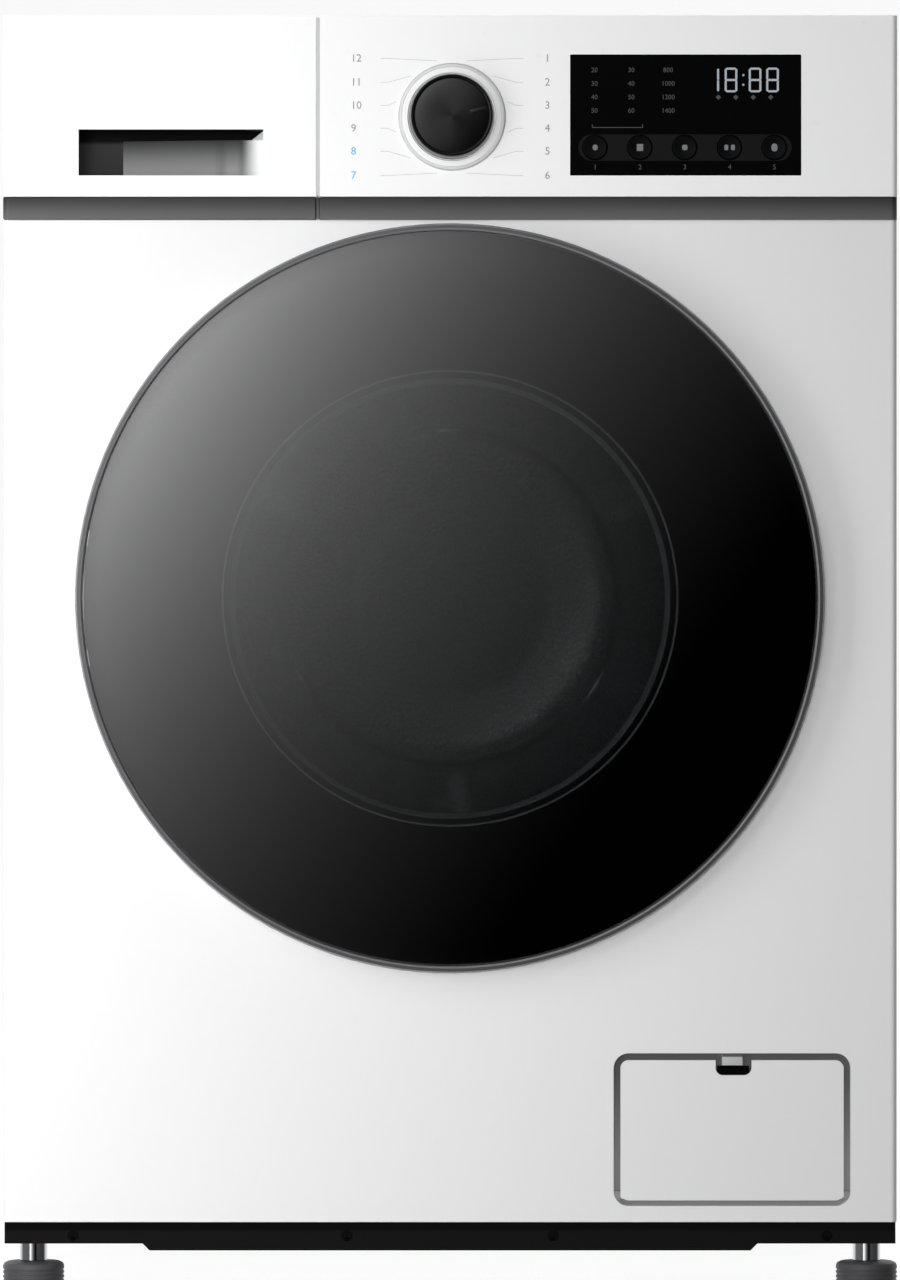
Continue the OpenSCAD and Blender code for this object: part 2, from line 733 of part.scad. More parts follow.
module control_board() {
  encoder = 12;
  switch = 3.2;
  front = board_y;
  color(c_green) difference() {
    block([board_x0, front, board_z0], [board_x1, front + board_t, board_z1]);
    bar_y([knob_x, front - over, knob_z], knob_stem_r + 1, board_t + 2 * over);
  }
  color(c_black) difference() {
    block([knob_x - encoder, front - 13, knob_z - encoder], [knob_x + encoder, front, knob_z + encoder]);
    bar_y([knob_x, front - 14, knob_z], knob_stem_r + run_fit, 16);
  }
  for (i = [1:key_n]) color(c_black)
    block([key_at(i) - switch, key_y0 + key_len + key_travel + fit, key_z - switch],
      [key_at(i) + switch, front, key_z + switch]);
  color(c_plastic) block([display_x - display_w / 2 + 6, window_y1, key_z + pill_h / 2 + 4],
    [display_x + display_w / 2 - 6, window_y1 + 7, display_z + display_h / 2 - 3]);
  for (x = [board_x0 + 20, board_x1 - 14]) color(c_black)
    block([x - 8, front - 7, board_z0 + 16], [x + 8, front, board_z0 + 30]);
  for (x = [knob_x + 34, knob_x + 46], z = [display_z - 14, display_z + 12]) color(c_steel)
    bar_y([x, front - 11, z], 4.5, 11);
}

module dispenser_housing() {
  y0 = drawer_seat_y + fascia_wall;
  w = tray_wall;
  color(c_plastic) difference() {
    union() {
      block([housing_x0, y0, housing_z0], [housing_x1, housing_y1, housing_z1]);
      block([housing_x0 - 5, y0, housing_z0 - 4], [housing_x1 + 5, y0 + w, housing_z1]);
      for (y = [y0 + 60:60:housing_y1 - 10])
        block([housing_x0 - 3, y, housing_z0 - 3], [housing_x1 + 3, y + w, housing_z1]);
      translate([spout_x, spout_y, housing_z0 - 22]) cylinder(h = 23, r = spout_r);
      bar_y([jet_x, housing_y1 - over, jet_z], jet_r, 15);
    }
    block([housing_x0 + w, y0 - over, housing_z0 + w],
      [housing_x1 - w, housing_y1 - w, tray_z1 + tray_gap]);
    block([housing_x0 + w, y0 + 8, housing_z0 + w], [housing_x1 - w, housing_y1 - w, housing_z1 - w]);
    translate([spout_x, spout_y, housing_z0 - 24]) cylinder(h = 30, r = spout_r - 2.5);
  }
  color(c_plastic) for (x = [tray_x0 + 8, tray_x1 - 12])
    block([x, y0, housing_z0 + w], [x + 4, housing_y1 - w, tray_z0 - fit]);
}

spout_x = -185;
spout_y = front_y + 197;
spout_r = 17;
spout_tub_z = axis_z + sqrt(tub_r * tub_r - spout_x * spout_x);
jet_x = -150;
jet_z = rail_z0 - 15;
jet_r = 6;
valve_y0 = rear_y - 62;

module inlet_valve() {
  color(c_plastic) {
    bar_y([inlet_x, rear_y, inlet_z], inlet_r, rear_proud);
    difference() {
      bar_y([inlet_x, rear_y - 8, inlet_z], inlet_r + 1, 8);
      bar_y([inlet_x, rear_y - 9, inlet_z], 6, 2);
    }
    block([inlet_x - 16, rear_y - 10 - sheet_t, inlet_z - 22],
      [inlet_x + 16, rear_y - sheet_t, inlet_z + 22]);
    bar_y([inlet_x, valve_y0 + 12, inlet_z], 12, 42);
    bar_y([inlet_x, valve_y0, inlet_z], jet_r, 14);
  }
  color(c_black) block([inlet_x - 15, rear_y - 46, inlet_z + 8], [inlet_x + 15, rear_y - 20, inlet_z + 42]);
}

module water_hoses() {
  hose_z0 = spout_tub_z + 28;
  route = [[inlet_x, valve_y0, inlet_z], [inlet_x, valve_y0 - 40, inlet_z],
    [jet_x, valve_y0 - 100, jet_z], [jet_x, housing_y1 + 14, jet_z]];
  color(c_rubber) swept_tube(rounded_path(route, 30), jet_r + 3, 10);
  color(c_rubber) difference() {
    union() {
      translate([spout_x, spout_y, hose_z0])
        cylinder(h = housing_z0 - 8 - hose_z0, r = spout_r + 3);
      for (z = [hose_z0 + 6:9:housing_z0 - 32]) translate([spout_x, spout_y, z])
        cylinder(h = 4, r = spout_r + 6);
    }
    translate([spout_x, spout_y, spout_tub_z]) cylinder(h = housing_z0 - spout_tub_z, r = spout_r);
  }
}

// ---------- service bay and drain ----------

module filter_bay() {
  w = 3;
  y0 = front_y + groove_d;
  lo = [bay_x0, bay_z0];
  hi = [bay_x0 + bay_w, bay_z1];
  lip = groove_w + 6;
  color(c_plastic) difference() {
    union() {
      slab_y(y0, pump_y0) round_rect(lo, hi, bay_r);
      for (s = [-1, 1]) slab_y(front_y + 0.5, y0 + 0.1) intersection() {
        round_rect(lo, hi, bay_r);
        translate([bay_x + s * (bay_w / 2 - groove_w / 2) - ear_t / 2, flap_pin_z - 3.2])
          square([ear_t, 6.4]);
      }
      slab_y(front_y + 1.5, y0 + 0.1) translate([notch_x - 10, bay_z1 - 8]) square([16, 8]);
    }
    slab_y(y0 - over, y0 + 2 + over) round_rect(lo + [lip, lip], hi - [lip, lip], 5);
    slab_y(y0 + 2, pump_y0 - w) round_rect(lo + [w, w], hi - [w, w], bay_r - w);
    bar_y([bay_x, pump_y0 - w - over, pump_z], filter_r + fit, w + 2 * over);
    slab_x(bay_x0 - over, bay_x0 + bay_w + over) translate([front_y + flap_pin_u, flap_pin_z])
      circle(flap_pin_r + run_fit);
  }
}

ear_t = groove_w - 2 * fit;
notch_x = bay_x + 1;
notch_w = 24;

module drain_pump() {
  color(c_plastic) difference() {
    union() {
      bar_y([bay_x, pump_y0, pump_z], pump_r, 64);
      bar_y([bay_x, pump_y0 + 64, pump_z], pump_r - 4, 10);
      rod([bay_x, pump_y0 + 44, pump_z], [bay_x, pump_y0 + 44, pump_z + pump_r + 22], drain_r - 1);
      rod([bay_x, pump_y0 + 24, pump_z], [bay_x - pump_r - 22, pump_y0 + 24, pump_z], 14);
    }
    bar_y([bay_x, pump_y0 - over, pump_z], filter_r + run_fit, 52);
  }
  color(c_black) {
    bar_y([bay_x, pump_y0 + 74, pump_z], 24, pump_y1 - pump_y0 - 74);
    block([bay_x - 14, pump_y0 + 76, pump_z + 18], [bay_x + 14, pump_y1 - 4, pump_z + 34]);
  }
}

drain_x = 30;
drain_y = front_y + 217;
side_x = inner_w - emboss_d - 18;

module drain_hoses() {
  sump_end = [bay_x - pump_r - 22, pump_y0 + 24, pump_z];
  top = [bay_x, pump_y0 + 44, pump_z + pump_r + 22];
  side_z = top.z + 34;
  inner_route = [[drain_x, drain_y, sump_z0 - tub_wall - 16], [drain_x, drain_y, pump_z],
    [drain_x + 40, pump_y0 + 24, pump_z], sump_end];
  outer_route = [top, [bay_x, top.y, side_z], [side_x, top.y + 30, side_z], [side_x, rear_y - 70, side_z],
    [outlet_x, rear_y - 50, outlet_z], [outlet_x, rear_y - 16, outlet_z]];
  color(c_rubber) swept_tube(rounded_path(inner_route, 20), 17, 12);
  color(c_rubber) swept_tube(rounded_path(outer_route, 24), drain_r + 2, 12);
  color(c_plastic) bar_y([outlet_x, rear_y - 16, outlet_z], drain_r, 16 + rear_proud);
  color(c_plastic) bar_y([outlet_x, rear_y, outlet_z], drain_r + 5, 2);
}

module mains_gland() {
  flange = gland_r + 9;
  color(c_black) difference() {
    union() {
      bar_y([gland_x, rear_y, gland_z], flange, 3);
      bar_y([gland_x, rear_y - 10, gland_z], gland_r + 4.8, 22);
      bar_y([gland_x, rear_y - 4.2, gland_z], flange - 2, 3);
    }
    bar_y([gland_x, rear_y - 12, gland_z], gland_r, 26);
  }
}

// ---------- door seal, lock and hinge on the panel ----------

module door_lock() {
  u0 = 24;
  u1 = 50;
  color(c_black) difference() {
    union() {
      block([hook_x - 12, front_y + u0, lock_z - 30], [hook_x + 14, front_y + u1, lock_z + 30]);
      for (z = [lock_z - 26, lock_z + 18]) block([mouth_r + 5, front_y + sheet_t, z],
        [mouth_r + 19, front_y + u0 + 6, z + 8]);
      block([hook_x + 13, front_y + u0, lock_z - 30], [mouth_r + 19, front_y + u0 + 6, lock_z + 30]);
    }
    block([hook_x - 9, front_y + u0 - over, lock_z - 14], [hook_x + 9, front_y + u1 - 4, lock_z + 14]);
  }
  color(c_plastic) block([hook_x - 10, front_y + u1, lock_z - 22],
    [hook_x + 6, front_y + u1 + 2, lock_z + 24]);
}

module bellows() {
  t = 2.4;
  lip = bowl_lip_r + fit;
  inner = throat_r - t;
  tail = throat_r - 6;
  color(c_rubber) on_axis() polygon([[lip, bowl_lip_u + 1], [lip + 4, bowl_lip_u - 4],
    [inner - 5, bowl_lip_u - 4], [inner, bowl_lip_u + 4], [throat_r, funnel_u - 4],
    [throat_r, throat_u + 1], [throat_r + 9, throat_u + 1], [throat_r + 9, throat_u + 9],
    [tail + t, throat_u + 9], [tail + t, 84], [tail, 84], [tail, throat_u + 6.6],
    [throat_r + 6, throat_u + 6.6], [throat_r + 6, throat_u + 3.4], [inner, throat_u + 3.4],
    [inner, funnel_u - 3], [inner - 2, bowl_lip_u + 5], [inner - 6, bowl_lip_u - 1],
    [lip + 5, bowl_lip_u - 1], [lip + 2, bowl_lip_u + 4]]);
}

module hinge_bracket() {
  plate = 2.5;
  x0 = hinge_x + 5;
  x1 = hinge_x + 29;
  color(c_steel) difference() {
    union() {
      slab_y(front_y - plate, front_y) round_rect([x0, axis_z - hinge_reach],
        [x1, axis_z + hinge_reach], 4);
      for (z = [axis_z - lug_z, axis_z + lug_z]) slab_z(z - lug_t / 2, z + lug_t / 2) {
        translate([hinge_x, hinge_y]) circle(hinge_eye_r);
        polygon([[hinge_x - 1, hinge_y + hinge_eye_r - 0.5], [hinge_x + 9, front_y - plate],
          [x1 - 4, front_y - plate], [hinge_x + 3, hinge_y - hinge_eye_r + 1]]);
      }
    }
    for (s = [-1, 1]) bar_y([hinge_x + 16, front_y - 2 * plate, axis_z + s * lug_z * 1.4 - s * 3],
      screw_r + run_fit, 3 * plate);
    translate([hinge_x, hinge_y, axis_z - hinge_reach]) cylinder(h = 2 * hinge_reach, r = hinge_pin_r);
  }
  color(c_chrome) translate([hinge_x, hinge_y, axis_z - lug_z - lug_t / 2])
    cylinder(h = 2 * lug_z + lug_t, r = hinge_pin_r);
}

module fasteners() {
  nut_t = 6;
  color(c_black) for (x = kick_screw_x) {
    bar_y([x, front_y + 1.6 - screw_head_t + 0.6, kick_screw_z], screw_head_r, screw_head_t - 0.6);
    bar_y([x, front_y + 1.6, kick_screw_z], screw_r, 11);
  }
  color(c_steel) for (p = hatch_screws) {
    bar_y([p.x, rear_y + sheet_t, p.y], screw_head_r, screw_head_t);
    bar_y([p.x, rear_y - 8, p.y], screw_r, 8 + sheet_t);
  }
  color(c_plastic) for (p = cap_places) difference() {
    union() {
      bar_y([p.x, rear_y, p.y], cap_r, cap_t);
      bar_y([p.x, lap_y - 6, p.y], cap_plug_r, 6 + cap_t);
    }
    bar_y([p.x, lap_y - 6 - over, p.y], cap_plug_r - 2, 6 + over);
  }
  color(c_steel) for (p = feet) translate([p.x, p.y, base_z0 - nut_t]) difference() {
    cylinder(h = nut_t, r = rod_d * 0.95, $fn = 6);
    translate([0, 0, -over]) cylinder(h = nut_t + 2 * over, r = rod_d / 2 + run_fit);
  }
  color(c_steel) around(tub_bolts, 15)
    bar_y([tub_bolt_r, tub_split_y - 12, 0], 3, 24);
  color(c_chrome) on_axis(throat_u - 6) translate([throat_r + 2 + 1.2, 0]) circle(1.2, $fn = 16);
}

tub_bolts = 12;
tub_bolt_r = tub_r + 7;

// Repeats something round the drum's axis, drawn at [radius, y, 0].
module around(n, start = 0) {
  for (i = [0:n - 1]) translate([0, 0, axis_z]) rotate([0, start + i * 360 / n, 0]) children();
}

// ---------- tub ----------

module tub_sector_ribs(r0, r1, y0, y1, n) {
  around(n) block([r0, y0, -1.5], [r1, y1, 1.5]);
}

module sump_box(grow, y0, y1) {
  block([-sump_w / 2 - grow, y0, sump_z0 - grow], [sump_w / 2 + grow, y1, axis_z - tub_r * 0.9]);
}

heater_z = sump_z0 + 18;

module tub_front() {
  wall = tub_wall;
  depth = tub_split_y - tub_y0;
  color(c_plastic) difference() {
    union() {
      on_axis(tub_y0 - front_y) polygon([[throat_r - 3, collar_u - 85], [throat_r + 1, collar_u - 85],
        [throat_r + 1, 0], [tub_r, 0], [tub_r, depth - 8], [tub_r + 11, depth - 8],
        [tub_r + 11, depth], [tub_in_r, depth], [tub_in_r, wall], [throat_r - 3, wall]]);
      difference() {
        sump_box(wall, tub_y0, sump_y1);
        bar_y([0, tub_y0 - over, axis_z], tub_r - 0.01, depth + 3);
        sump_box(0, tub_y0 + wall, sump_y1 - wall);
      }
      for (y = [tub_y0 + 40:45:tub_split_y - 30]) bar_ring(y);
      translate([spout_x, spout_y, spout_tub_z - 8]) cylinder(h = 54, r = spout_r);
      rod([drain_x, drain_y, sump_z0 - wall - 16], [drain_x, drain_y, sump_z0 - wall + 0.5], 14);
    }
    bar_y([0, tub_y0 + wall, axis_z], tub_in_r, depth);
    intersection() {
      sump_box(0, tub_y0 + wall, sump_y1 - wall);
      bar_y([0, tub_y0 + wall, axis_z], tub_r + 3, depth - wall - 10);
    }
    slab_y(tub_y0 - over, tub_y0 + wall + over)
      round_rect([-heater_w / 2, heater_z - 12], [heater_w / 2, heater_z + 12], 11.9);
    translate([spout_x, spout_y, spout_tub_z - 20]) cylinder(h = 70, r = spout_r - 3);
    translate([drain_x, drain_y, sump_z0 - wall - 20]) cylinder(h = 30, r = 11);
    around(tub_bolts, 15)
      bar_y([tub_bolt_r, tub_split_y - 14, 0], 3, 24);
    for (s = [-1, 1]) bar_y([s * weight_bolt_r, tub_y0 - over, axis_z], 3, wall + 2 * over);
  }
}

heater_w = 76;
weight_r0 = throat_r + 27;
weight_r1 = tub_in_r - 6;
weight_bolt_r = (weight_r0 + weight_r1) / 2;

// A rib round the tub, open over the sump.
module bar_ring(y) {
  difference() {
    along_y([0, y, axis_z]) rotate_extrude($fn = fine)
      translate([tub_r - 0.5, 0]) square([5.5, 3]);
    block([-sump_w / 2 - tub_wall, y - over, 0], [sump_w / 2 + tub_wall, y + 3 + over, axis_z]);
    bar_y([spout_x, y - over, spout_tub_z + 20], 30, 5);
  }
}

module tub_rear() {
  wall = tub_wall;
  y0 = tub_split_y;
  color(c_plastic) difference() {
    union() {
      on_axis(y0 - front_y) polygon([[tub_in_r, 0], [tub_r + 11, 0], [tub_r + 11, 8], [tub_r, 8],
        [tub_r, tub_y1 - y0], [hub_r + 26, tub_y1 - y0], [hub_r, hub_y1 - y0 - 8],
        [hub_r, hub_y1 - y0], [0, hub_y1 - y0], [0, tub_y1 - wall - y0],
        [tub_in_r, tub_y1 - wall - y0]]);
      tub_sector_ribs(hub_r, tub_r - 2, tub_y1 - 0.5, tub_y1 + 14, 16);
      for (s = [-1, 1]) translate([s * spring_x, mount_y, 0]) spring_lug();
      for (s = [-1, 1], y = damper_cheeks) slab_y(y, y + damper_cheek_t) damper_lug(s);
      for (s = [-1, 1]) for (y = [motor_y0 + 12, tub_y1 - 20]) slab_y(y, y + 12) motor_ear(s);
    }
    bar_y([0, tub_y1 - wall - over, axis_z], bearing_r, bearing_w + wall + over);
    bar_y([0, hub_y1 - bearing_w - 1, axis_z], bearing_r, bearing_w + 2);
    bar_y([0, tub_y1 - 2 * wall, axis_z], shaft_r + 4, 60);
    around(tub_bolts, 15)
      bar_y([tub_bolt_r, y0 - over, 0], 3, 14);
    for (s = [-1, 1]) bar_y([s * damper_x1, mount_y - 20, damper_z1], damper_pin_r, 40);
    for (s = [-1, 1]) bar_y([s * motor_bolt_x, motor_y0, motor_bolt_z], 4, motor_len + 30);
    for (s = [-1, 1]) bar_y([s * spring_x, mount_y - 20, lug_top_z - 8], 4.5, 40);
  }
}

motor_bolt_x = 42;
motor_bolt_z = axis_z - tub_r - 9;

module clear_of_tub() {
  difference() {
    children();
    axis_circle(tub_r - 0.5);
  }
}

module spring_lug() {
  slab_y(-4, 4) difference() {
    translate([-9, axis_z + 95]) square([18, lug_top_z - axis_z - 95]);
    translate([-spring_x, axis_z]) circle(tub_r - 0.5, $fn = fine);
    translate([spring_x, axis_z]) circle(tub_r - 0.5, $fn = fine);
  }
}

module damper_lug(s) {
  clear_of_tub() {
    translate([s * damper_x1, damper_z1]) circle(12);
    translate([s * damper_x1 - 12, damper_z1]) square([24, 40]);
  }
}

module motor_ear(s) {
  clear_of_tub() {
    translate([s * motor_bolt_x, motor_bolt_z]) circle(10);
    translate([s * motor_bolt_x - 10, motor_bolt_z]) square([20, 16]);
  }
}

module counterweight_front() {
  thick = 33;
  bevel = 6;
  sink = 15;
  color(c_iron) difference() {
    on_axis(tub_y0 - front_y) polygon([[weight_r0, 2 - thick], [weight_r0 + 2, -thick],
      [weight_r1 - bevel, -thick], [weight_r1, bevel - thick], [weight_r1, 0], [weight_r0, 0]]);
    block([-70, tub_y0 - thick - over, 0], [70, tub_y0 + over, axis_z]);
    for (x = [-weight_bolt_r, weight_bolt_r]) {
      bar_y([x, tub_y0 - thick - over, axis_z], 3, thick + 2 * over);
      bar_y([x, tub_y0 - thick - over, axis_z], 9, thick + over - sink - 10);
    }
  }
  color(c_steel) for (s = [-1, 1]) {
    bar_y([s * weight_bolt_r, tub_y0 - sink - 10, axis_z], 3, sink + 10 + tub_wall);
    bar_y([s * weight_bolt_r, tub_y0 - sink - 15, axis_z], 8, 5);
  }
}

module counterweight_top() {
  x0 = -60;
  x1 = 190;
  top = rail_z0 - 14;
  pocket_r = 12;
  color(c_iron) difference() {
    slab_y(tub_y0 + 62, tub_split_y - 16) difference() {
      round_rect([x0, axis_z + 0.65 * tub_r], [x1, top], 14);
      axis_circle(tub_r + 5);
    }
    for (x = [x0 + 40, x1 - 60]) translate([x, tub_y0 + 120, top - 14]) cylinder(h = 20, r = pocket_r);
  }
}

module bearings() {
  for (y = [tub_y1 - tub_wall, hub_y1 - bearing_w]) {
    color(c_steel) along_y([0, y, axis_z]) rotate_extrude() {
      translate([shaft_r + run_fit, 0]) square([4, bearing_w]);
      translate([bearing_r - 4, 0]) square([4, bearing_w]);
    }
    color(c_chrome) for (i = [0:8]) translate([0, 0, axis_z]) rotate([0, i * 40, 0])
      translate([(shaft_r + bearing_r) / 2, y + bearing_w / 2, 0])
        sphere((bearing_r - shaft_r) / 2 - 4 - 0.02, $fn = 24);
  }
}

module heater() {
  r = 3.2;
  span = 56;
  y1 = sump_y1 - tub_wall - 3 - r - span / 2;
  color(c_steel) {
    slab_y(tub_y0 - 3, tub_y0) round_rect([-heater_w / 2 - 6, heater_z - 17],
      [heater_w / 2 + 6, heater_z + 17], 10);
    for (s = [-1, 1]) bar_y([s * span / 2, tub_y0 - 18, heater_z], r, y1 - tub_y0 + 18);
    translate([0, y1, heater_z]) rotate_extrude(angle = 180) translate([span / 2, 0]) circle(r, $fn = 24);
  }
  color(c_rubber) slab_y(tub_y0 - 0.01, tub_y0 + tub_wall)
    round_rect([-heater_w / 2 + 0.2, heater_z - 11.8], [heater_w / 2 - 0.2, heater_z + 11.8], 11.7);
  color(c_chrome) bar_y([0, tub_y0 - 16, heater_z], 4, 16);
}

// ---------- suspension and drive ----------

// A round wire wound into a helix along +Z.
module coil_spring(coil_r, wire_r, height, turns) {
  steps = 12 * turns;
  swept_tube([for (i = [0:steps]) [coil_r * cos(i * 30), coil_r * sin(i * 30), i * height / steps]],
    wire_r, 6);
}

module suspension_springs() {
  z0 = lug_top_z + 10;
  z1 = rail_z0 - 10;
  w = spring_wire_r;
  color(c_steel) for (s = [-1, 1]) translate([s * spring_x, mount_y, 0]) {
    translate([0, 0, z0]) coil_spring(spring_r, w, z1 - z0, spring_turns);
    translate([0, 0, z1 - 1]) cylinder(h = 4, r = spring_r + w);
    translate([0, 0, z1]) cylinder(h = rail_z0 + 2 - z1, r = w);
    translate([0, 0, rail_z0 + 2]) cylinder(h = 4, r = 9);
    translate([0, 0, z0 - 4]) cylinder(h = 4, r = spring_r + w);
    for (y = [-9, 9]) translate([0, y, lug_top_z - 8 - w])
      cylinder(h = z0 + 6 - lug_top_z + w, r = w);
    bar_y([0, -9, lug_top_z - 8], w, 18);
  }
}

module dampers() {
  pin = damper_eye + damper_cheek_t + 4;
  neck_r = 6;
  tube_r = 13;
  stem_r = 6;
  color(c_steel) for (s = [-1, 1]) {
    a = [s * damper_x0, mount_y, damper_z0];
    b = [s * damper_x1, mount_y, damper_z1];
    dir = unit(b - a);
    for (p = [a, b]) {
      bar_y(p - [0, damper_eye, 0], 9, 2 * damper_eye);
      bar_y(p - [0, pin, 0], damper_pin_r, 2 * pin);
    }
    rod(a + 6 * dir, a + 16 * dir, neck_r);
    rod(a + 14 * dir, a + (damper_len * 0.58) * dir, tube_r);
    rod(a + (damper_len * 0.55) * dir, b - 6 * dir, stem_r);
  }
}

module motor() {
  bell = 8;
  color(c_steel) difference() {
    union() {
      bar_y([0, motor_y0, motor_z], motor_r - 10, motor_len);
      bar_y([0, motor_y0 + bell, motor_z], motor_r, motor_len - 2 * bell);
      for (s = [-1, 1], y = [motor_y0 + 24, tub_y1 - 8]) slab_y(y, y + 8) motor_arm(s);
    }
    for (i = [0:11], y = [motor_y0 + 22, motor_y1 - 40]) translate([0, 0, motor_z]) rotate([0, i * 30, 0])
      block([motor_r - 6, y, -4], [motor_r + 2, y + 18, 4]);
    bar_y([0, motor_y1 - 24, motor_z], rotor_r + run_fit, 26);
  }
  color(c_chrome) for (s = [-1, 1]) {
    bar_y([s * motor_bolt_x, motor_y0 + 12, motor_bolt_z], 4, tub_y1 - motor_y0);
    bar_y([s * motor_bolt_x, motor_y0 + 5, motor_bolt_z], 7, 7);
  }
}

module motor_arm(s) {
  difference() {
    union() {
      translate([s * motor_bolt_x, motor_bolt_z]) circle(9);
      polygon([[s * (motor_bolt_x + 9), motor_bolt_z], [s * (motor_bolt_x - 9), motor_bolt_z],
        [s * 12, motor_z + motor_r - 4], [s * 40, motor_z + 34]]);
    }
    axis_circle(tub_r + 1);
  }
}

// The area inside a taut belt that stands off both pulleys by a distance.
module belt_loop(stand_off) {
  big = pulley_r + stand_off;
  small = pinion_r + stand_off;
  tilt = asin((big - small) / belt_span);
  side = [cos(tilt), -sin(tilt)];
  axis_circle(big);
  translate([0, motor_z]) circle(small);
  polygon([[big * side.x, axis_z + big * side.y], [small * side.x, motor_z + small * side.y],
    [-small * side.x, motor_z + small * side.y], [-big * side.x, axis_z + big * side.y]]);
}

module drive_belt() {
  color(c_black) slab_y(pulley_y0 + 2, pulley_y0 + 2 + belt_w) difference() {
    belt_loop(fit + belt_t);
    belt_loop(fit);
  }
}

// Half section of a pulley with its two flanges.
module pulley_face(r, flange_t, bore) {
  w = pulley_y1 - pulley_y0;
  lip_r = r + belt_t + fit;
  polygon([[bore, 0], [lip_r, 0], [lip_r, flange_t], [r, flange_t + 0.3], [r, w - flange_t - 0.3],
    [lip_r, w - flange_t], [lip_r, w], [bore, w]]);
}

module drum_pulley() {
  rim = 12;
  hub = shaft_r + 14;
  spokes = 5;
  color(c_steel) difference() {
    along_y([0, pulley_y0, axis_z]) rotate_extrude($fn = fine) pulley_face(pulley_r, 1.5, shaft_r);
    difference() {
      along_y([0, pulley_y0 - over, axis_z]) rotate_extrude($fn = fine)
        translate([hub, 0]) square([pulley_r - rim - hub, pulley_y1 - pulley_y0 + 2 * over]);
      around(spokes)
        block([0, pulley_y0 + 4, -11], [pulley_r - rim / 2, pulley_y1 - 4, 11]);
    }
  }
  color(c_chrome) bar_y([0, pulley_y1, axis_z], 11, 6);
}

module motor_pulley() {
  color(c_steel) {
    along_y([0, pulley_y0, motor_z]) rotate_extrude() pulley_face(pinion_r, 1.5, 0);
    bar_y([0, motor_y1 - 20, motor_z], rotor_r, 20 + pulley_y0 - motor_y1 + over);
  }
}

module drum_shell() {
  t = drum_t;
  r = drum_r;
  len = drum_len;
  color(c_steel) on_axis(drum_u) polygon([[drum_mouth_r, 8], [drum_mouth_r, 0], [r - 14, 0], [r - 4, 4],
    [r, 14], [r, len - 14], [r - 4, len - 4], [r - 14, len], [0, len], [0, len - t],
    [r - 14 - t / 2, len - t], [r - 4 - t, len - 4 - t], [r - t, len - 14 - t / 2],
    [r - t, 14 + t / 2], [r - 4 - t, 4 + t], [r - 14 - t / 2, t], [drum_mouth_r + t, t],
    [drum_mouth_r + t, 8]]);
}

module drum_lifters() {
  tip = 9;
  foot_w = 27;
  seat_r = drum_r - drum_t;
  r0 = seat_r - lifter_h + tip;
  color(c_plastic) around(lifter_n, -90)
    difference() {
      intersection() {
        slab_y(drum_y0 + 18, drum_y1 - 18) {
          translate([r0, 0]) circle(tip);
          polygon([[r0, -tip], [seat_r + 2, -foot_w], [seat_r + 2, foot_w], [r0, tip]]);
        }
        bar_y([0, drum_y0, 0], seat_r, drum_len);
      }
      for (y = [drum_y0 + 50:40:drum_y1 - 50]) translate([r0 + 6, y, -40]) cylinder(h = 80, r = 4.5);
    }
}

module drum_spider() {
  thick = 20;
  hub = 36;
  color(c_iron) {
    difference() {
      union() {
        bar_y([0, drum_y1, axis_z], hub, thick + 2);
        around(3, -90)
          slab_on_y(drum_y1, drum_y1 + thick) polygon([[0, -24], [drum_r - 22, -15],
            [drum_r - 14, -9], [drum_r - 14, 9], [drum_r - 22, 15], [0, 24]]);
      }
      around(3, -90)
        slab_on_y(drum_y1 + 6, drum_y1 + thick + over) polygon([[hub + 6, -14], [drum_r - 40, -8],
          [drum_r - 40, 8], [hub + 6, 14]]);
    }
    bar_y([0, drum_y1, axis_z], shaft_r, pulley_y1 - drum_y1);
  }
}

// Extrudes a drawing in X and -Z between two places along Y.
module slab_on_y(y0, y1) {
  translate([0, y0, 0]) rotate([-90, 0, 0]) linear_extrude(y1 - y0) children();
}

// ---------- door ----------

glass_bulge = door_proud - rim_proud + 2;
glass_sphere_r = (glass_r * glass_r + glass_bulge * glass_bulge) / (2 * glass_bulge);
web_u0 = -11;
web_u1 = -8;
rim_seat_u = 2 - rim_proud + glass_t + fit;
frame_in_r = bowl_r0 + 10;

// Place of the inner face of the glass at a radius.
function glass_back_u(r) = glass_sphere_r - door_proud - sqrt(pow(glass_sphere_r - glass_t, 2) - r * r);

module door_glass() {
  mid = glass_sphere_r - door_proud;
  color(c_glass) on_axis() intersection() {
    difference() {
      translate([0, mid]) circle(glass_sphere_r, $fn = 1440);
      translate([0, mid]) circle(glass_sphere_r - glass_t, $fn = 1440);
    }
    translate([0, -door_proud - over]) square([glass_r, glass_bulge + glass_t + 2 * over]);
  }
}

// The space that the hinge on the panel needs in the back of the door.
module hinge_pocket() {
  block([-door_r - over, front_y - hinge_out - hinge_eye_r - fit, axis_z - hinge_reach - 3],
    [hinge_x + 34, front_y + over, axis_z + hinge_reach + 3]);
}

// The stretch of a ring at the right edge of the door, where the fingers reach behind it.
module grip_sector(r0, r1, u0, u1, half_z) {
  intersection() {
    on_axis() translate([r0, u0]) square([r1 - r0, u1 - u0]);
    block([0, front_y - 60, axis_z - half_z], [door_r + 2 * over, front_y + over, axis_z + half_z]);
  }
}

module door_grip() {
  grip_sector(grip_r, door_r + over, grip_u, 0, grip_half);
}

grip_r = door_r - 24;
grip_u = -13.7;
grip_half = 48;

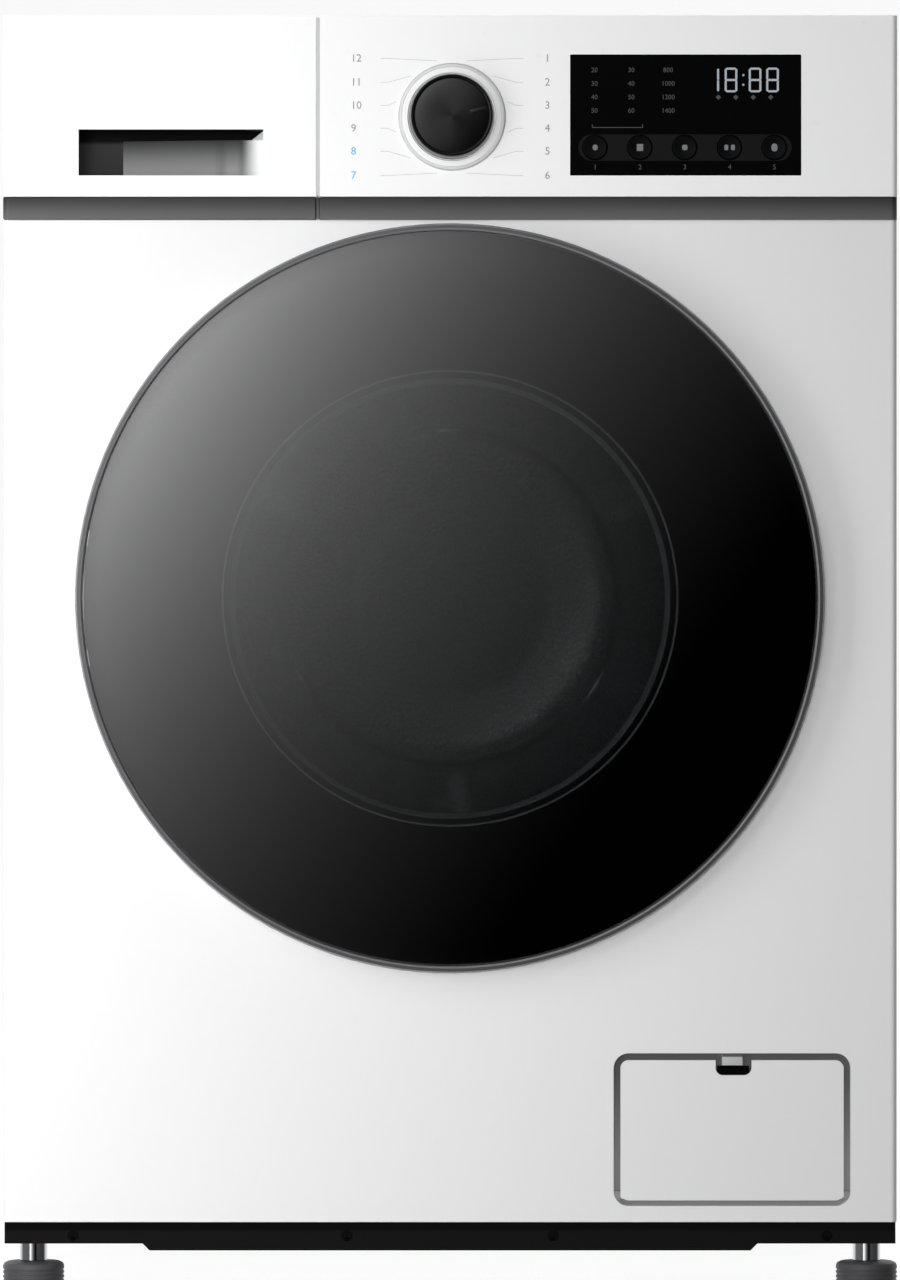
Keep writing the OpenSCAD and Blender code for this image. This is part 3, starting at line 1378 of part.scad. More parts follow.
module door_trim_ring() {
  inner = glass_r;
  color(c_chrome) difference() {
    on_axis() polygon([[inner, 1.4 - rim_proud], [inner + 1, -rim_proud], [door_r - 1, 0.4 - rim_proud],
      [door_r, 2 - rim_proud], [door_r, -12], [door_r - 1.5, -10.2], [inner, -10.2],
      [inner, rim_seat_u + 2], [inner - 6, rim_seat_u + 2], [inner - 6, rim_seat_u],
      [inner, rim_seat_u]]);
    hinge_pocket();
    door_grip();
  }
}

module door_frame() {
  outer = glass_r;
  ledge = rim_seat_u + 2;
  wall_r = frame_in_r + 7;
  front_u = glass_back_u(wall_r + 4) + fit;
  color(c_black) difference() {
    union() {
      on_axis() polygon([[frame_in_r, -14], [wall_r, -14], [wall_r, front_u], [wall_r + 4, front_u],
        [wall_r + 4, web_u0], [outer - 6, web_u0], [outer - 6, ledge], [outer, ledge],
        [outer, web_u1], [wall_r, web_u1], [wall_r, web_u0], [frame_in_r, web_u0]]);
      grip_sector(grip_r - 2, outer, ledge, web_u1, grip_half + 2);
    }
    hinge_pocket();
    door_grip();
    arm_plate();
    block([hook_x - 8, front_y - 30, lock_z - 13], [hook_x + 8, front_y, lock_z + 13]);
  }
  color(c_steel) translate([hook_x, front_y + hook_pin_u, lock_z - 16]) cylinder(h = 32, r = hook_pin_r);
}

module door_back_ring() {
  rim = door_r - 2.5;
  color(c_white) difference() {
    on_axis() polygon([[bowl_r0 + 2, web_u1], [rim, web_u1], [rim, web_u1 - 2], [door_r - 0.8, -10.2],
      [door_r - 0.8, -8], [rim, -door_gap], [bowl_r0 + 3, -door_gap], [bowl_r0 + 2, -door_gap - 1]]);
    hinge_pocket();
    door_grip();
    block([hook_x - 6, front_y - 30, lock_z - 13], [hook_x + 8, front_y, lock_z + 13]);
  }
}

// Profile of the bowl's deep end, from its knee over a rounded edge to the flat middle.
function bowl_end(r, u1) = let (a = acos(bowl_flat_r / r), rise = u1 - bowl_knee_u,
  flat_u = bowl_knee_u + rise * sin(a) - 2)
  concat([for (i = [0:6]) [r * cos(i * a / 6), bowl_knee_u + rise * sin(i * a / 6)]],
    [[bowl_flat_r - 3, flat_u], [0, flat_u]]);

function reversed(list) = [for (i = [len(list) - 1:-1:0]) list[i]];

module door_bowl() {
  w = bowl_wall;
  color(c_glass) on_axis() polygon(concat(
    [[bowl_r0 - w, web_u0], [frame_in_r + 6.7, web_u0], [frame_in_r + 6.7, web_u1], [bowl_r0, web_u1],
      [bowl_r0 - 0.6, -4], [bowl_lip_r, bowl_lip_u]],
    bowl_end(bowl_r1, bowl_u), reversed(bowl_end(bowl_r1 - w, bowl_u - w)),
    [[bowl_lip_r - w, bowl_lip_u], [bowl_r0 - w, -4]]));
}

module arm_plate() {
  block([hinge_x + 33, front_y + web_u0, axis_z - 20], [hinge_x + 66, front_y + web_u1, axis_z + 20]);
}

module door_hinge_arm() {
  reach = lug_z - lug_t / 2 - fit;
  color(c_steel) {
    difference() {
      union() {
        translate([hinge_x, hinge_y, axis_z - reach]) cylinder(h = 2 * reach, r = hinge_eye_r);
        block([hinge_x, front_y + web_u0 - 3, axis_z - 20],
          [hinge_x + 34, front_y + web_u1, axis_z + 20]);
        arm_plate();
      }
      translate([hinge_x, hinge_y, axis_z - hinge_reach])
        cylinder(h = 2 * hinge_reach, r = hinge_pin_r + run_fit);
    }
  }
}

module door_hook() {
  pivot_y = front_y + hook_pin_u;
  color(c_steel) difference() {
    slab_z(lock_z - 10, lock_z + 10) {
      translate([hook_x, pivot_y]) circle(3.5);
      polygon([[hook_x - 3.5, pivot_y], [hook_x + 3, pivot_y], [hook_x + 3, front_y + 38],
        [hook_x - 1, front_y + 41], [hook_x - 7, front_y + 33], [hook_x - 3, front_y + 31]]);
    }
    translate([hook_x, pivot_y, lock_z - 11]) cylinder(h = 22, r = hook_pin_r + run_fit);
  }
}

// ---------- drawer ----------

module grip_pocket(grow) {
  x0 = grip_x0 - grow;
  x1 = grip_x0 + grip_w + grow;
  y1 = fascia_y + grip_d + grow;
  lip = 6;
  deep_w = 29;
  slab_z(grip_z0 - grow, grip_z1 - lip)
    polygon([[x0, fascia_y - over], [x0, y1], [grip_x0 + deep_w, y1], [x1, fascia_y + grow / 2],
      [x1, fascia_y - over]]);
  slab_y(fascia_y - over, y1) polygon([[x0, grip_z1 - lip - over], [x1 - 2 * lip, grip_z1 - lip - over],
    [x1, grip_z1 + grow], [x0, grip_z1 + grow]]);
  block([x0, fascia_y + 3 - grow / 3, grip_z1 - over], [x1 - 2 * lip, y1, grip_z1 + lip + grow]);
}

module drawer_front() {
  w = 2.5;
  color(c_white) difference() {
    union() {
      difference() {
        slab_z(fascia_z0, machine_h) intersection() {
          front_section(fascia_y, 0);
          translate([drawer_x0, fascia_y]) square([drawer_w, drawer_back_y - fascia_y]);
        }
        block([drawer_x0 + w, fascia_y + w, fascia_z0 + w],
          [drawer_x1 - w, drawer_back_y + over, machine_h - w]);
      }
      intersection() {
        grip_pocket(w);
        block([drawer_x0 + w / 2, fascia_y + w / 2, fascia_z0],
          [drawer_x1 - w / 2, drawer_back_y, machine_h]);
      }
      for (x = [drawer_x0 + 24, drawer_x1 - 24], z = [fascia_z0 + 40, machine_h - 16])
        bar_y([x, fascia_y + w - 0.5, z], 4, drawer_back_y - fascia_y - w + 0.5);
    }
    grip_pocket(0);
  }
}

module drawer_band() {
  color(c_grey) difference() {
    slab_z(band_z0 + fit, fascia_z0) intersection() {
      front_section(band_y, 0);
      translate([drawer_x0, band_y]) square([drawer_w, drawer_back_y - band_y]);
    }
    block([drawer_x0 + 2, band_y + 2, band_z0 + 2 + fit],
      [drawer_x1 - 2, drawer_back_y + over, fascia_z0 - 2]);
  }
}

tray_wall_1 = tray_x0 + 0.42 * (tray_x1 - tray_x0);
tray_wall_2 = tray_x0 + 0.70 * (tray_x1 - tray_x0);

module drawer_tray() {
  w = tray_wall;
  plate_t = 0.7;
  floor_z = tray_z0 + w;
  chambers = [[tray_x0 + w, tray_wall_1 - w / 2], [tray_wall_1 + w / 2, tray_wall_2 - w / 2],
    [tray_wall_2 + w / 2, tray_x1 - w]];
  color(c_plastic) difference() {
    union() {
      block([tray_x0, drawer_back_y, tray_z0], [tray_x1, tray_y1, tray_z1]);
      block([drawer_x0 + 4, drawer_back_y, tray_z0 - 6],
        [drawer_x1 - 4, drawer_back_y + plate_t, machine_h - 6]);
    }
    for (c = chambers) block([c[0], drawer_back_y + w + plate_t, floor_z],
      [c[1], tray_y1 - w, tray_z1 + over]);
    for (c = [chambers[0], chambers[2]]) block([c[0] + 4, tray_y1 - w - over, floor_z + 6],
      [c[1] - 4, tray_y1 + over, tray_z1 + over]);
    block([chambers[1][0] - w - over, tray_y1 - 30, tray_z1 - 12],
      [chambers[1][1] + w + over, tray_y1 + over, tray_z1 + over]);
  }
  siphon = [(chambers[1][0] + chambers[1][1]) / 2, tray_y1 - 34];
  cap_z = floor_z + 42;
  color(c_rubber) {
    translate([siphon.x, siphon.y, floor_z]) cylinder(h = 34, r = 4);
    difference() {
      translate([siphon.x, siphon.y, floor_z + 4]) cylinder(h = cap_z - floor_z - 3, r = 9);
      translate([siphon.x, siphon.y, floor_z]) cylinder(h = cap_z - floor_z, r = 7.5);
    }
    block([chambers[1][0], siphon.y - 6, cap_z], [chambers[1][1], siphon.y + 6, cap_z + 2.5]);
  }
}

// ---------- knob and keys ----------

module programme_knob() {
  r = knob_d / 2;
  gap = 0.5;
  dish = 1.2;
  color(c_black) along_y([knob_x, fascia_y, knob_z]) difference() {
    union() {
      rotate_extrude($fn = fine) polygon([[0, -gap], [r, -gap], [r, -gap - 3],
        [r - 1.4, 2 - knob_proud], [r - 3, -knob_proud], [r - 6, dish - knob_proud],
        [0, dish - knob_proud]]);
      translate([0, 0, -gap - over]) cylinder(h = board_y - fascia_y - 2 + gap, r = knob_stem_r);
    }
    rotate(-12) translate([r - 12, -0.9, -knob_proud - over]) cube([14, 1.8, 2.2 + dish]);
  }
}

module key(i) {
  r = key_d / 2;
  seat = window_y1 + fit - key_y0;
  color(c_black) along_y([key_at(i), key_y0, key_z]) rotate_extrude() polygon([[0, 0], [r - 1, 0], [r, 0.8],
    [r, seat], [r + 1.2, seat], [r + 1.2, seat + 1.5], [2.2, seat + 1.5], [2.2, key_len], [0, key_len]]);
}

// ---------- service flap and filter ----------

module filter_flap() {
  x0 = flap_x0;
  x1 = bay_x0 + bay_w - groove_w;
  color(c_white) difference() {
    union() {
      slab_y(front_y, front_y + flap_t) round_rect([x0, flap_z0], [x1, flap_z1], bay_r - groove_w);
      for (x = [x0 + 2, x1 - 4]) slab_x(x, x + 2)
        translate([front_y + flap_t - over, flap_z0 + 10]) square([3.5, flap_z1 - flap_z0 - 26]);
      for (x = [x0 + 0.8, x1 - 7]) slab_x(x, x + 6.2)
        translate([front_y + 1, flap_pin_z - 2]) square([3.5, 4]);
      for (x = [x0 - groove_w + flap_pin_in, x1 - 4]) slab_x(x, x + groove_w - flap_pin_in + 4)
        translate([front_y + flap_pin_u, flap_pin_z]) circle(flap_pin_r);
    }
    slab_y(front_y - over, front_y + flap_t + over)
      round_rect([notch_x - notch_w / 2, flap_z1 - 10], [notch_x + notch_w / 2, flap_z1 + 20], 5);
  }
}

module pump_filter() {
  neck = pump_y0 - 18;
  color(c_plastic) difference() {
    union() {
      bar_y([bay_x, neck, pump_z], filter_r, 66);
      translate([bay_x, 0, pump_z]) rotate([0, 20, 0])
        block([-23, front_y + groove_d + 10, -6], [23, neck + over, 6]);
    }
    bar_y([bay_x, neck + 30, pump_z], filter_r - 3, 50);
    for (i = [0:7]) translate([bay_x, 0, pump_z]) rotate([0, i * 45, 0])
      block([filter_r - 6, neck + 36, -4], [filter_r + 2, neck + 58, 4]);
  }
}

// ---------- feet ----------

module foot(p) {
  r = pad_d / 2;
  nut_z = base_z0 - 6.5;
  translate([p.x, p.y, 0]) {
    color(c_rubber) rotate_extrude()
      polygon([[0, 0], [r - 1, 0], [r, 1], [r, pad_h - 3], [r - 2, pad_h], [0, pad_h]]);
    color(c_chrome) translate([0, 0, pad_h]) cylinder(h = nut_z - pad_h, r = collar_d / 2);
    color(c_steel) translate([0, 0, pad_h]) cylinder(h = rod_top_z - pad_h, r = rod_d / 2);
  }
}

cabinet_wrap();
rear_cover();
worktop();
front_panel();
base_frame();
kick_plate();
spring_rail();
control_fascia();
accent_band();
dial_ring();
display_window();
control_board();
dispenser_housing();
inlet_valve();
water_hoses();
filter_bay();
drain_pump();
drain_hoses();
door_lock();
bellows();
hinge_bracket();
fasteners();
mains_gland();
tub_front();
tub_rear();
counterweight_front();
counterweight_top();
bearings();
heater();
suspension_springs();
dampers();
motor();
drive_belt();
door_glass();
door_trim_ring();
door_frame();
door_back_ring();
door_bowl();
door_hinge_arm();
door_hook();
drawer_front();
drawer_band();
drawer_tray();
programme_knob();
key(1);  // key_1
key(2);  // key_2
key(3);  // key_3
key(4);  // key_4
key(5);  // key_5
drum_shell();
drum_lifters();
drum_spider();
drum_pulley();
motor_pulley();
filter_flap();
pump_filter();
foot(feet[0]);  // foot_front_left
foot(feet[1]);  // foot_front_right
foot(feet[2]);  // foot_rear_left
foot(feet[3]);  // foot_rear_right
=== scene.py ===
"""Looks of a front load washing machine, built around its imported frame.

Sizes and places are in millimetres unless a comment says otherwise, and become metres where a mesh
or a node gets them. The axes are the frame's own: +Z is up and the front faces -Y.
"""

import json
import logging
import math
from dataclasses import dataclass
from enum import Enum
from typing import Callable, Iterable, Sequence

import bmesh
import bpy
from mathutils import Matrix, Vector


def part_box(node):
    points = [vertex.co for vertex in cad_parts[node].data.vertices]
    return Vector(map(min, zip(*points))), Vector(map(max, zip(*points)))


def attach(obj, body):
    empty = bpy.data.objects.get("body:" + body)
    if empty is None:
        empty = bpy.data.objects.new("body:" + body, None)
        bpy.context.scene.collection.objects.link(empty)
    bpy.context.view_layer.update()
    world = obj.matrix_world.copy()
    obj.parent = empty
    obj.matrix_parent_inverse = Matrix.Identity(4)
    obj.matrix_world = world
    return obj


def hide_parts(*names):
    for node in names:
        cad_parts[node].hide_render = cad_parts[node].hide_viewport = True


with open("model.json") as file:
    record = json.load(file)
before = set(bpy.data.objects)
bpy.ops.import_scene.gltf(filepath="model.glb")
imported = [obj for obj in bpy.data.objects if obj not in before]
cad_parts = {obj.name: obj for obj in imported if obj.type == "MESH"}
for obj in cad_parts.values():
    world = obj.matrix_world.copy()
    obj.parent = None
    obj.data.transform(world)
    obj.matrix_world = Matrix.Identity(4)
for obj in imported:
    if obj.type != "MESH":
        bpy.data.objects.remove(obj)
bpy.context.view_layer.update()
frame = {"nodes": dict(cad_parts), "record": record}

SLOT_OF = {row["node"]: row["material_slot"] for row in frame["record"]["subparts"]}
BODY_OF = {node: body for body, nodes in frame["record"]["behaviour"]["bodies"].items() for node in nodes}
LOG = logging.getLogger("washing_machine")
MM = 0.001

Piece = bpy.types.Object
Source = bpy.types.NodeSocket | bpy.types.Node
Pair = tuple[float, float]
Test = Callable[[Vector, Vector], bool]


# ---------- colours and nodes ----------

def linear(code: str) -> tuple[float, float, float, float]:
    """Turns an sRGB hex colour into linear values.

    Args:
        code: six hex digits.

    Returns:
        Red, green, blue and full opacity.
    """
    parts = [int(code[i:i + 2], 16) / 255 for i in (0, 2, 4)]
    return (*(c / 12.92 if c <= 0.04045 else ((c + 0.055) / 1.055) ** 2.4 for c in parts), 1.0)


def grain(size_mm: float) -> float:
    """Noise scale whose spots are about this many millimetres across."""
    return 1.0 / (size_mm * MM)


def socket(source: Source) -> bpy.types.NodeSocket:
    """The socket itself, or a node's first output."""
    return source.outputs[0] if isinstance(source, bpy.types.Node) else source


@dataclass(frozen=True)
class Nodes:
    """A node tree and the shader that its nodes feed."""

    tree: bpy.types.NodeTree
    shader: bpy.types.Node

    def add(self, kind: str, settings: dict | None = None, links: dict | None = None) -> bpy.types.Node:
        """Adds one node with its settings and its links.

        Args:
            kind: node type without its prefix, such as Bump.
            settings: values by input name or number, or by property name.
            links: what feeds an input, by its name or number.

        Returns:
            The new node.
        """
        node = self.tree.nodes.new("ShaderNode" + kind)
        for key, value in (settings or {}).items():
            if isinstance(key, int) or key in node.inputs:
                node.inputs[key].default_value = value
            else:
                setattr(node, key, value)
        for key, source in (links or {}).items():
            self.tree.links.new(socket(source), node.inputs[key])
        return node

    def place(self) -> bpy.types.NodeSocket:
        """Object coordinates in metres."""
        return self.add("TexCoord").outputs["Object"]

    def feed(self, name: str, source: Source) -> None:
        """Links a source to one of the shader's inputs."""
        self.tree.links.new(socket(source), self.shader.inputs[name])

    def colour(self) -> bpy.types.NodeSocket:
        """What feeds the shader's colour so far."""
        return self.shader.inputs["Base Color"].links[0].from_socket

    def run_into(self, share: Source, code: str) -> None:
        """Lets the colour so far run into another one.

        Args:
            share: how much of the other one shows, from 0 to 1.
            code: the other one as six hex digits.
        """
        mix = self.add("Mix", {"data_type": "RGBA", 7: linear(code)}, {0: share, 6: self.colour()})
        self.feed("Base Color", mix.outputs[2])


# ---------- finishes ----------

@dataclass(frozen=True)
class Finish:
    """A surface finish: its typical values and its fine grain."""

    name: str
    colour: str
    roughness: float = 0.4
    metallic: float = 0.0
    ior: float = 1.5
    coat: float = 0.0
    coat_roughness: float = 0.06
    grain_mm: float = 1.0
    relief_mm: float = 0.0
    tone: float = 0.0
    uneven: float = 0.0
    specular: float = 0.5
    detail: float = 3.0
    pores: float = 0.5

    def material(self) -> bpy.types.Material:
        """Builds the material once and gives it back each time it is asked for.

        Returns:
            The material.
        """
        made = bpy.data.materials.get(self.name)
        if made is None:
            made = bpy.data.materials.new(self.name)
            made.use_nodes = True
            shader = made.node_tree.nodes["Principled BSDF"]
            values = {"Base Color": linear(self.colour), "Roughness": self.roughness,
                      "Metallic": self.metallic, "Coat Weight": self.coat,
                      "Coat Roughness": self.coat_roughness, "Specular IOR Level": self.specular}
            if not self.metallic:
                values["IOR"] = self.ior
            for name, value in values.items():
                shader.inputs[name].default_value = value
            self.pattern(Nodes(made.node_tree, shader))
        return made

    def pattern(self, nodes: Nodes) -> None:
        """Adds the grain."""
        settings = {"Scale": grain(self.grain_mm), "Detail": self.detail, "Roughness": self.pores}
        self.vary(nodes, nodes.add("TexNoise", settings, {"Vector": nodes.place()}))

    def vary(self, nodes: Nodes, height: Source) -> None:
        """Lets a pattern from 0 to 1 change the tone, the roughness and the relief.

        Args:
            nodes: the material's nodes.
            height: the pattern.
        """
        if self.tone:
            low, high = ([min(1.0, c * (1 + change)) for c in linear(self.colour)[:3]] + [1.0]
                         for change in (-self.tone, self.tone))
            mix = nodes.add("Mix", {"data_type": "RGBA", 6: low, 7: high}, {0: height})
            nodes.feed("Base Color", mix.outputs[2])
        if self.uneven:
            limits = {"To Min": max(0.0, self.roughness - self.uneven),
                      "To Max": min(1.0, self.roughness + self.uneven)}
            nodes.feed("Roughness", nodes.add("MapRange", limits, {"Value": height}))
        if self.relief_mm:
            depth = {"Strength": 1.0, "Distance": self.relief_mm * MM}
            nodes.feed("Normal", nodes.add("Bump", depth, {"Height": height}))


@dataclass(frozen=True)
class PowderCoat(Finish):
    """Powder coated sheet steel: a gloss skin whose soft waviness blurs reflections."""

    wave_mm: float = 6.0
    peel: float = 0.35  # share of the fine peel beside the waviness

    def pattern(self, nodes: Nodes) -> None:
        """Adds the orange peel of the baked powder over a broad, slight waviness.

        Args:
            nodes: the material's nodes.
        """
        where = nodes.place()
        fine, broad = (nodes.add("TexNoise", {"Scale": grain(size), "Detail": detail}, {"Vector": where})
                       for size, detail in ((self.grain_mm, 2.0), (self.wave_mm, 1.0)))
        both = nodes.add("Math", {"operation": "MULTIPLY_ADD", 1: self.peel}, {0: fine, 2: broad})
        self.vary(nodes, both)


@dataclass(frozen=True)
class SpunMetal(Finish):
    """Metal or lacquer turned on a lathe: fine circles round the Y axis that stretch the gloss."""

    centre: tuple[float, float, float] = (0.0, 0.0, 0.0)  # in metres
    ring_mm: float = 2.2
    stretch: float = 0.7

    def pattern(self, nodes: Nodes) -> None:
        """Adds the turning marks as rings and turns the stretched gloss along them.

        Args:
            nodes: the material's nodes.
        """
        moved = nodes.add("Mapping", {"Location": [-c for c in self.centre]}, {"Vector": nodes.place()})
        scale = math.pi / 10 * grain(self.ring_mm)  # at scale 1 the texture has a ring every pi / 10
        rings = nodes.add("TexWave", {"wave_type": "RINGS", "rings_direction": "Y", "Scale": scale,
                                      "Distortion": 1.5, "Detail": 2.0, "Detail Scale": 2.0},
                          {"Vector": moved})
        self.vary(nodes, rings.outputs["Fac"])
        nodes.shader.inputs["Anisotropic"].default_value = self.stretch
        nodes.feed("Tangent", nodes.add("Tangent", {"direction_type": "RADIAL", "axis": "Y"}))


@dataclass(frozen=True)
class ClearBody(Finish):
    """Glass or clear plastic, tinted in the mass, with the slow waves of its pressing."""

    detail: float = 1.0

    def pattern(self, nodes: Nodes) -> None:
        """Lets light through and adds the waves."""
        nodes.shader.inputs["Transmission Weight"].default_value = 1.0
        super().pattern(nodes)


@dataclass(frozen=True)
class Galvanised(Finish):
    """Zinc coated steel: crystals of slightly different tone and gloss."""

    def pattern(self, nodes: Nodes) -> None:
        """Adds the spangle as cells, each with its own tone."""
        cells = nodes.add("TexVoronoi", {"Scale": grain(self.grain_mm)}, {"Vector": nodes.place()})
        self.vary(nodes, nodes.add("SeparateColor", {}, {"Color": cells.outputs["Color"]}))


@dataclass(frozen=True)
class Cast(Finish):
    """Cast concrete or aluminium: blotches left by the mould, broken up by fine pores."""

    detail: float = 8.0
    pores: float = 0.7


@dataclass(frozen=True)
class Graded(Finish):
    """A finish whose colour runs into a second one between two heights."""

    far_colour: str = "000000"
    start_mm: float = 0.0
    end_mm: float = 1.0

    def pattern(self, nodes: Nodes) -> None:
        """Adds the grain, then lets its colour run into the second one.

        Args:
            nodes: the material's nodes.
        """
        super().pattern(nodes)
        parts = nodes.add("SeparateXYZ", {}, {"Vector": nodes.place()})
        share = nodes.add("MapRange", {"interpolation_type": "SMOOTHSTEP", "From Min": self.start_mm * MM,
                                       "From Max": self.end_mm * MM}, {"Value": parts.outputs["Z"]})
        nodes.run_into(share, self.far_colour)


@dataclass(frozen=True)
class RampLining(Graded):
    """Painted shade on a slanted floor: graded grey with upright shading bands, and a run out into the
    white face.
    """

    fade_mm: Pair = (-139.0, -125.0)
    streaks: tuple[Pair, ...] = ((-158.0, 1.0), (-151.7, 0.8), (-147.5, 1.08), (-142.0, 1.1),
                                 (-138.4, 0.82), (-134.0, 1.05))  # place along X, share of the grey
    most: float = 1.2  # the share that a white stop stands for
    face_colour: str = "f3f4f4"

    def pattern(self, nodes: Nodes) -> None:
        """Adds the painted shading bands and the run out to white.

        Args:
            nodes: the material's nodes.
        """
        super().pattern(nodes)
        x = nodes.add("SeparateXYZ", {}, {"Vector": nodes.place()}).outputs["X"]
        first, last = self.streaks[0][0], self.streaks[-1][0]
        share = nodes.add("MapRange", {"From Min": first * MM, "From Max": last * MM}, {"Value": x})
        ramp = nodes.add("ValToRGB", {}, {"Fac": share})
        stops = ramp.color_ramp.elements
        for i, (place, level) in enumerate(self.streaks):
            where, grey = (place - first) / (last - first), level / self.most
            stop = stops.new(where) if 0 < i < len(self.streaks) - 1 else stops[0 if i == 0 else -1]
            stop.position, stop.color = where, (grey, grey, grey, 1)
        times = {"operation": "MULTIPLY"}
        shade_banded = nodes.add("VectorMath", times, {0: nodes.colour(), 1: ramp})
        nodes.feed("Base Color", nodes.add("VectorMath", times | {1: [self.most] * 3}, {0: shade_banded}))
        fade = nodes.add("MapRange", {"interpolation_type": "SMOOTHSTEP", "From Min": self.fade_mm[0] * MM,
                                      "From Max": self.fade_mm[1] * MM}, {"Value": x})
        nodes.run_into(fade, self.face_colour)


@dataclass(frozen=True)
class Perforated(Finish):
    """Sheet rolled into a drum round the Y axis, with staggered rows of pressed holes."""

    centre: Pair = (0.0, 462.3)
    radius_mm: float = 245.0
    pitch_mm: float = 14.0
    hole_mm: float = 3.6
    hole_colour: str = "0c0c0d"
    blur_mm: float = 0.25
    dent_mm: Pair = (-0.3, 1.6)  # where the dent starts and ends, outside the hole's edge
    dent_deep_mm: float = 0.6

    def pattern(self, nodes: Nodes) -> None:
        """Sets the holes out round the drum, every second row half a pitch further.

        Args:
            nodes: the material's nodes.
        """
        super().pattern(nodes)
        count = round(2 * math.pi * self.radius_mm / self.pitch_mm)
        row = self.pitch_mm * math.sqrt(3) / 2
        parts = nodes.add("SeparateXYZ", {}, {"Vector": nodes.place()})
        sums = {name: parts.outputs[name] for name in "XYZ"}
        for name, operation, a, b in (
                ("side", "SUBTRACT", "X", self.centre[0] * MM),
                ("rise", "SUBTRACT", "Z", self.centre[1] * MM),
                ("angle", "ARCTAN2", "rise", "side"), ("turn", "MULTIPLY", "angle", count / (2 * math.pi)),
                ("along", "DIVIDE", "Y", row * MM), ("number", "FLOOR", "along", 0.0),
                ("odd", "FLOORED_MODULO", "number", 2.0), ("shift", "MULTIPLY", "odd", 0.5),
                ("shifted", "ADD", "turn", "shift"), ("u", "FRACT", "shifted", 0.0),
                ("v", "FRACT", "along", 0.0), ("u", "SUBTRACT", "u", 0.5), ("v", "SUBTRACT", "v", 0.5),
                ("u", "MULTIPLY", "u", self.pitch_mm), ("v", "MULTIPLY", "v", row)):
            linked = {1: sums[b]} if isinstance(b, str) else {}
            fixed = {} if linked else {1: b}
            sums[name] = nodes.add("Math", {"operation": operation} | fixed, {0: sums[a]} | linked)
        place = nodes.add("CombineXYZ", {}, {"X": sums["u"], "Y": sums["v"]})
        away = nodes.add("VectorMath", {"operation": "LENGTH"}, {0: place}).outputs["Value"]
        half = self.hole_mm / 2
        hole = nodes.add("MapRange", {"From Min": half + self.blur_mm, "From Max": half - self.blur_mm},
                         {"Value": away})
        nodes.run_into(hole, self.hole_colour)
        near, far = self.dent_mm
        dish = nodes.add("MapRange", {"From Min": half + near, "From Max": half + far}, {"Value": away})
        depth = {"Strength": 1.0, "Distance": self.dent_deep_mm * MM}
        nodes.feed("Normal", nodes.add("Bump", depth, {"Height": dish}))


@dataclass(frozen=True)
class Glow(Finish):
    """A lit segment or printed light: it shines by itself."""

    power: float = 1.0
    spread: float = 0.15
    unlit: str = "050505"

    def pattern(self, nodes: Nodes) -> None:
        """Lets the surface shine, a little unevenly like a diffused diode.

        Args:
            nodes: the material's nodes.
        """
        haze = nodes.add("TexNoise", {"Scale": grain(self.grain_mm)}, {"Vector": nodes.place()})
        nodes.shader.inputs["Base Color"].default_value = linear(self.unlit)
        nodes.shader.inputs["Emission Color"].default_value = linear(self.colour)
        limits = {"To Min": self.power * (1 - self.spread), "To Max": self.power * (1 + self.spread)}
        nodes.feed("Emission Strength", nodes.add("MapRange", limits, {"Value": haze}))


# Baked powder on sheet steel: a soft, slightly rippled gloss.
ENAMEL = PowderCoat("powder_coated_steel_white", "eaeaea", 0.34, grain_mm=1.2, relief_mm=0.004,
                    tone=0.006, uneven=0.03)
# Moulded ABS, a little smoother and brighter than the sheet beside it.
WHITE_ABS = PowderCoat("moulded_abs_white", "f9f9f9", 0.28, grain_mm=0.8, relief_mm=0.003,
                       tone=0.006, uneven=0.03, wave_mm=9.0)
# Laminate pressed on chipboard: a fine pearl grain, nearly matt.
LAMINATE = Finish("pressed_laminate_white", "f0f0ef", 0.5, grain_mm=0.7, relief_mm=0.02,
                  tone=0.015, uneven=0.06)
# Zinc on rolled steel: spangled, dull bright.
ZINC = Galvanised("galvanised_steel", "b9bcbe", 0.42, 1.0, grain_mm=6.0, tone=0.09, uneven=0.1)
# Injection moulded ABS with a semi gloss skin: near black, blurred highlights.
BLACK_ABS = Finish("moulded_abs_black", "0d0d0f", 0.33, grain_mm=0.6, relief_mm=0.006,
                   tone=0.05, uneven=0.05)
# The same ABS spark eroded to a fine texture: black that hardly shines, with a painted shadow that makes
# its top edge darkest, under the panel.
KICK_ABS_PAINTED_SHADOW = Graded("moulded_abs_black_textured", "0c0c0d", 0.6, grain_mm=0.6, relief_mm=0.01,
                  tone=0.05, uneven=0.05, specular=0.2, far_colour="010101", start_mm=41.2, end_mm=42.6)
# ABS in the flap's mould: the white of the sheet round it.
FLAP_ABS = PowderCoat("moulded_abs_white_flap", "e8e8e8", 0.33, grain_mm=1.0, relief_mm=0.003,
                      tone=0.006, uneven=0.03, wave_mm=8.0)
# Grey polypropylene of the filter bay: matt, with painted shade that darkens it towards its top, so the
# groove reads dark.
BAY_PP_PAINTED_SHADE = Graded("polypropylene_grey", "8d8d8e", 0.6, grain_mm=0.8, relief_mm=0.01, tone=0.04,
                uneven=0.05, specular=0.3, far_colour="5b5b5c", start_mm=62.0, end_mm=160.0)
# Painted shade in the finger recess: dark grey in its deep part, and a black painted shadow under the
# overhang.
GRIP_PAINTED_SHADE = Graded("recess_lining_dark", "2a2a2a", 0.55, grain_mm=0.8, relief_mm=0.01, tone=0.05,
                     uneven=0.05, specular=0.2, far_colour="020202", start_mm=764.0, end_mm=767.5)
# Painted shade on the recess' slanted floor: grey that brightens downwards, with upright shading bands, and
# runs out white on the right.
RAMP_PAINTED_SHADE = RampLining("recess_lining_light", "8f8f90", 0.5, grain_mm=0.8, relief_mm=0.01, tone=0.05,
                         uneven=0.05, specular=0.3, far_colour="1a1b1c", start_mm=740.0, end_mm=771.0)
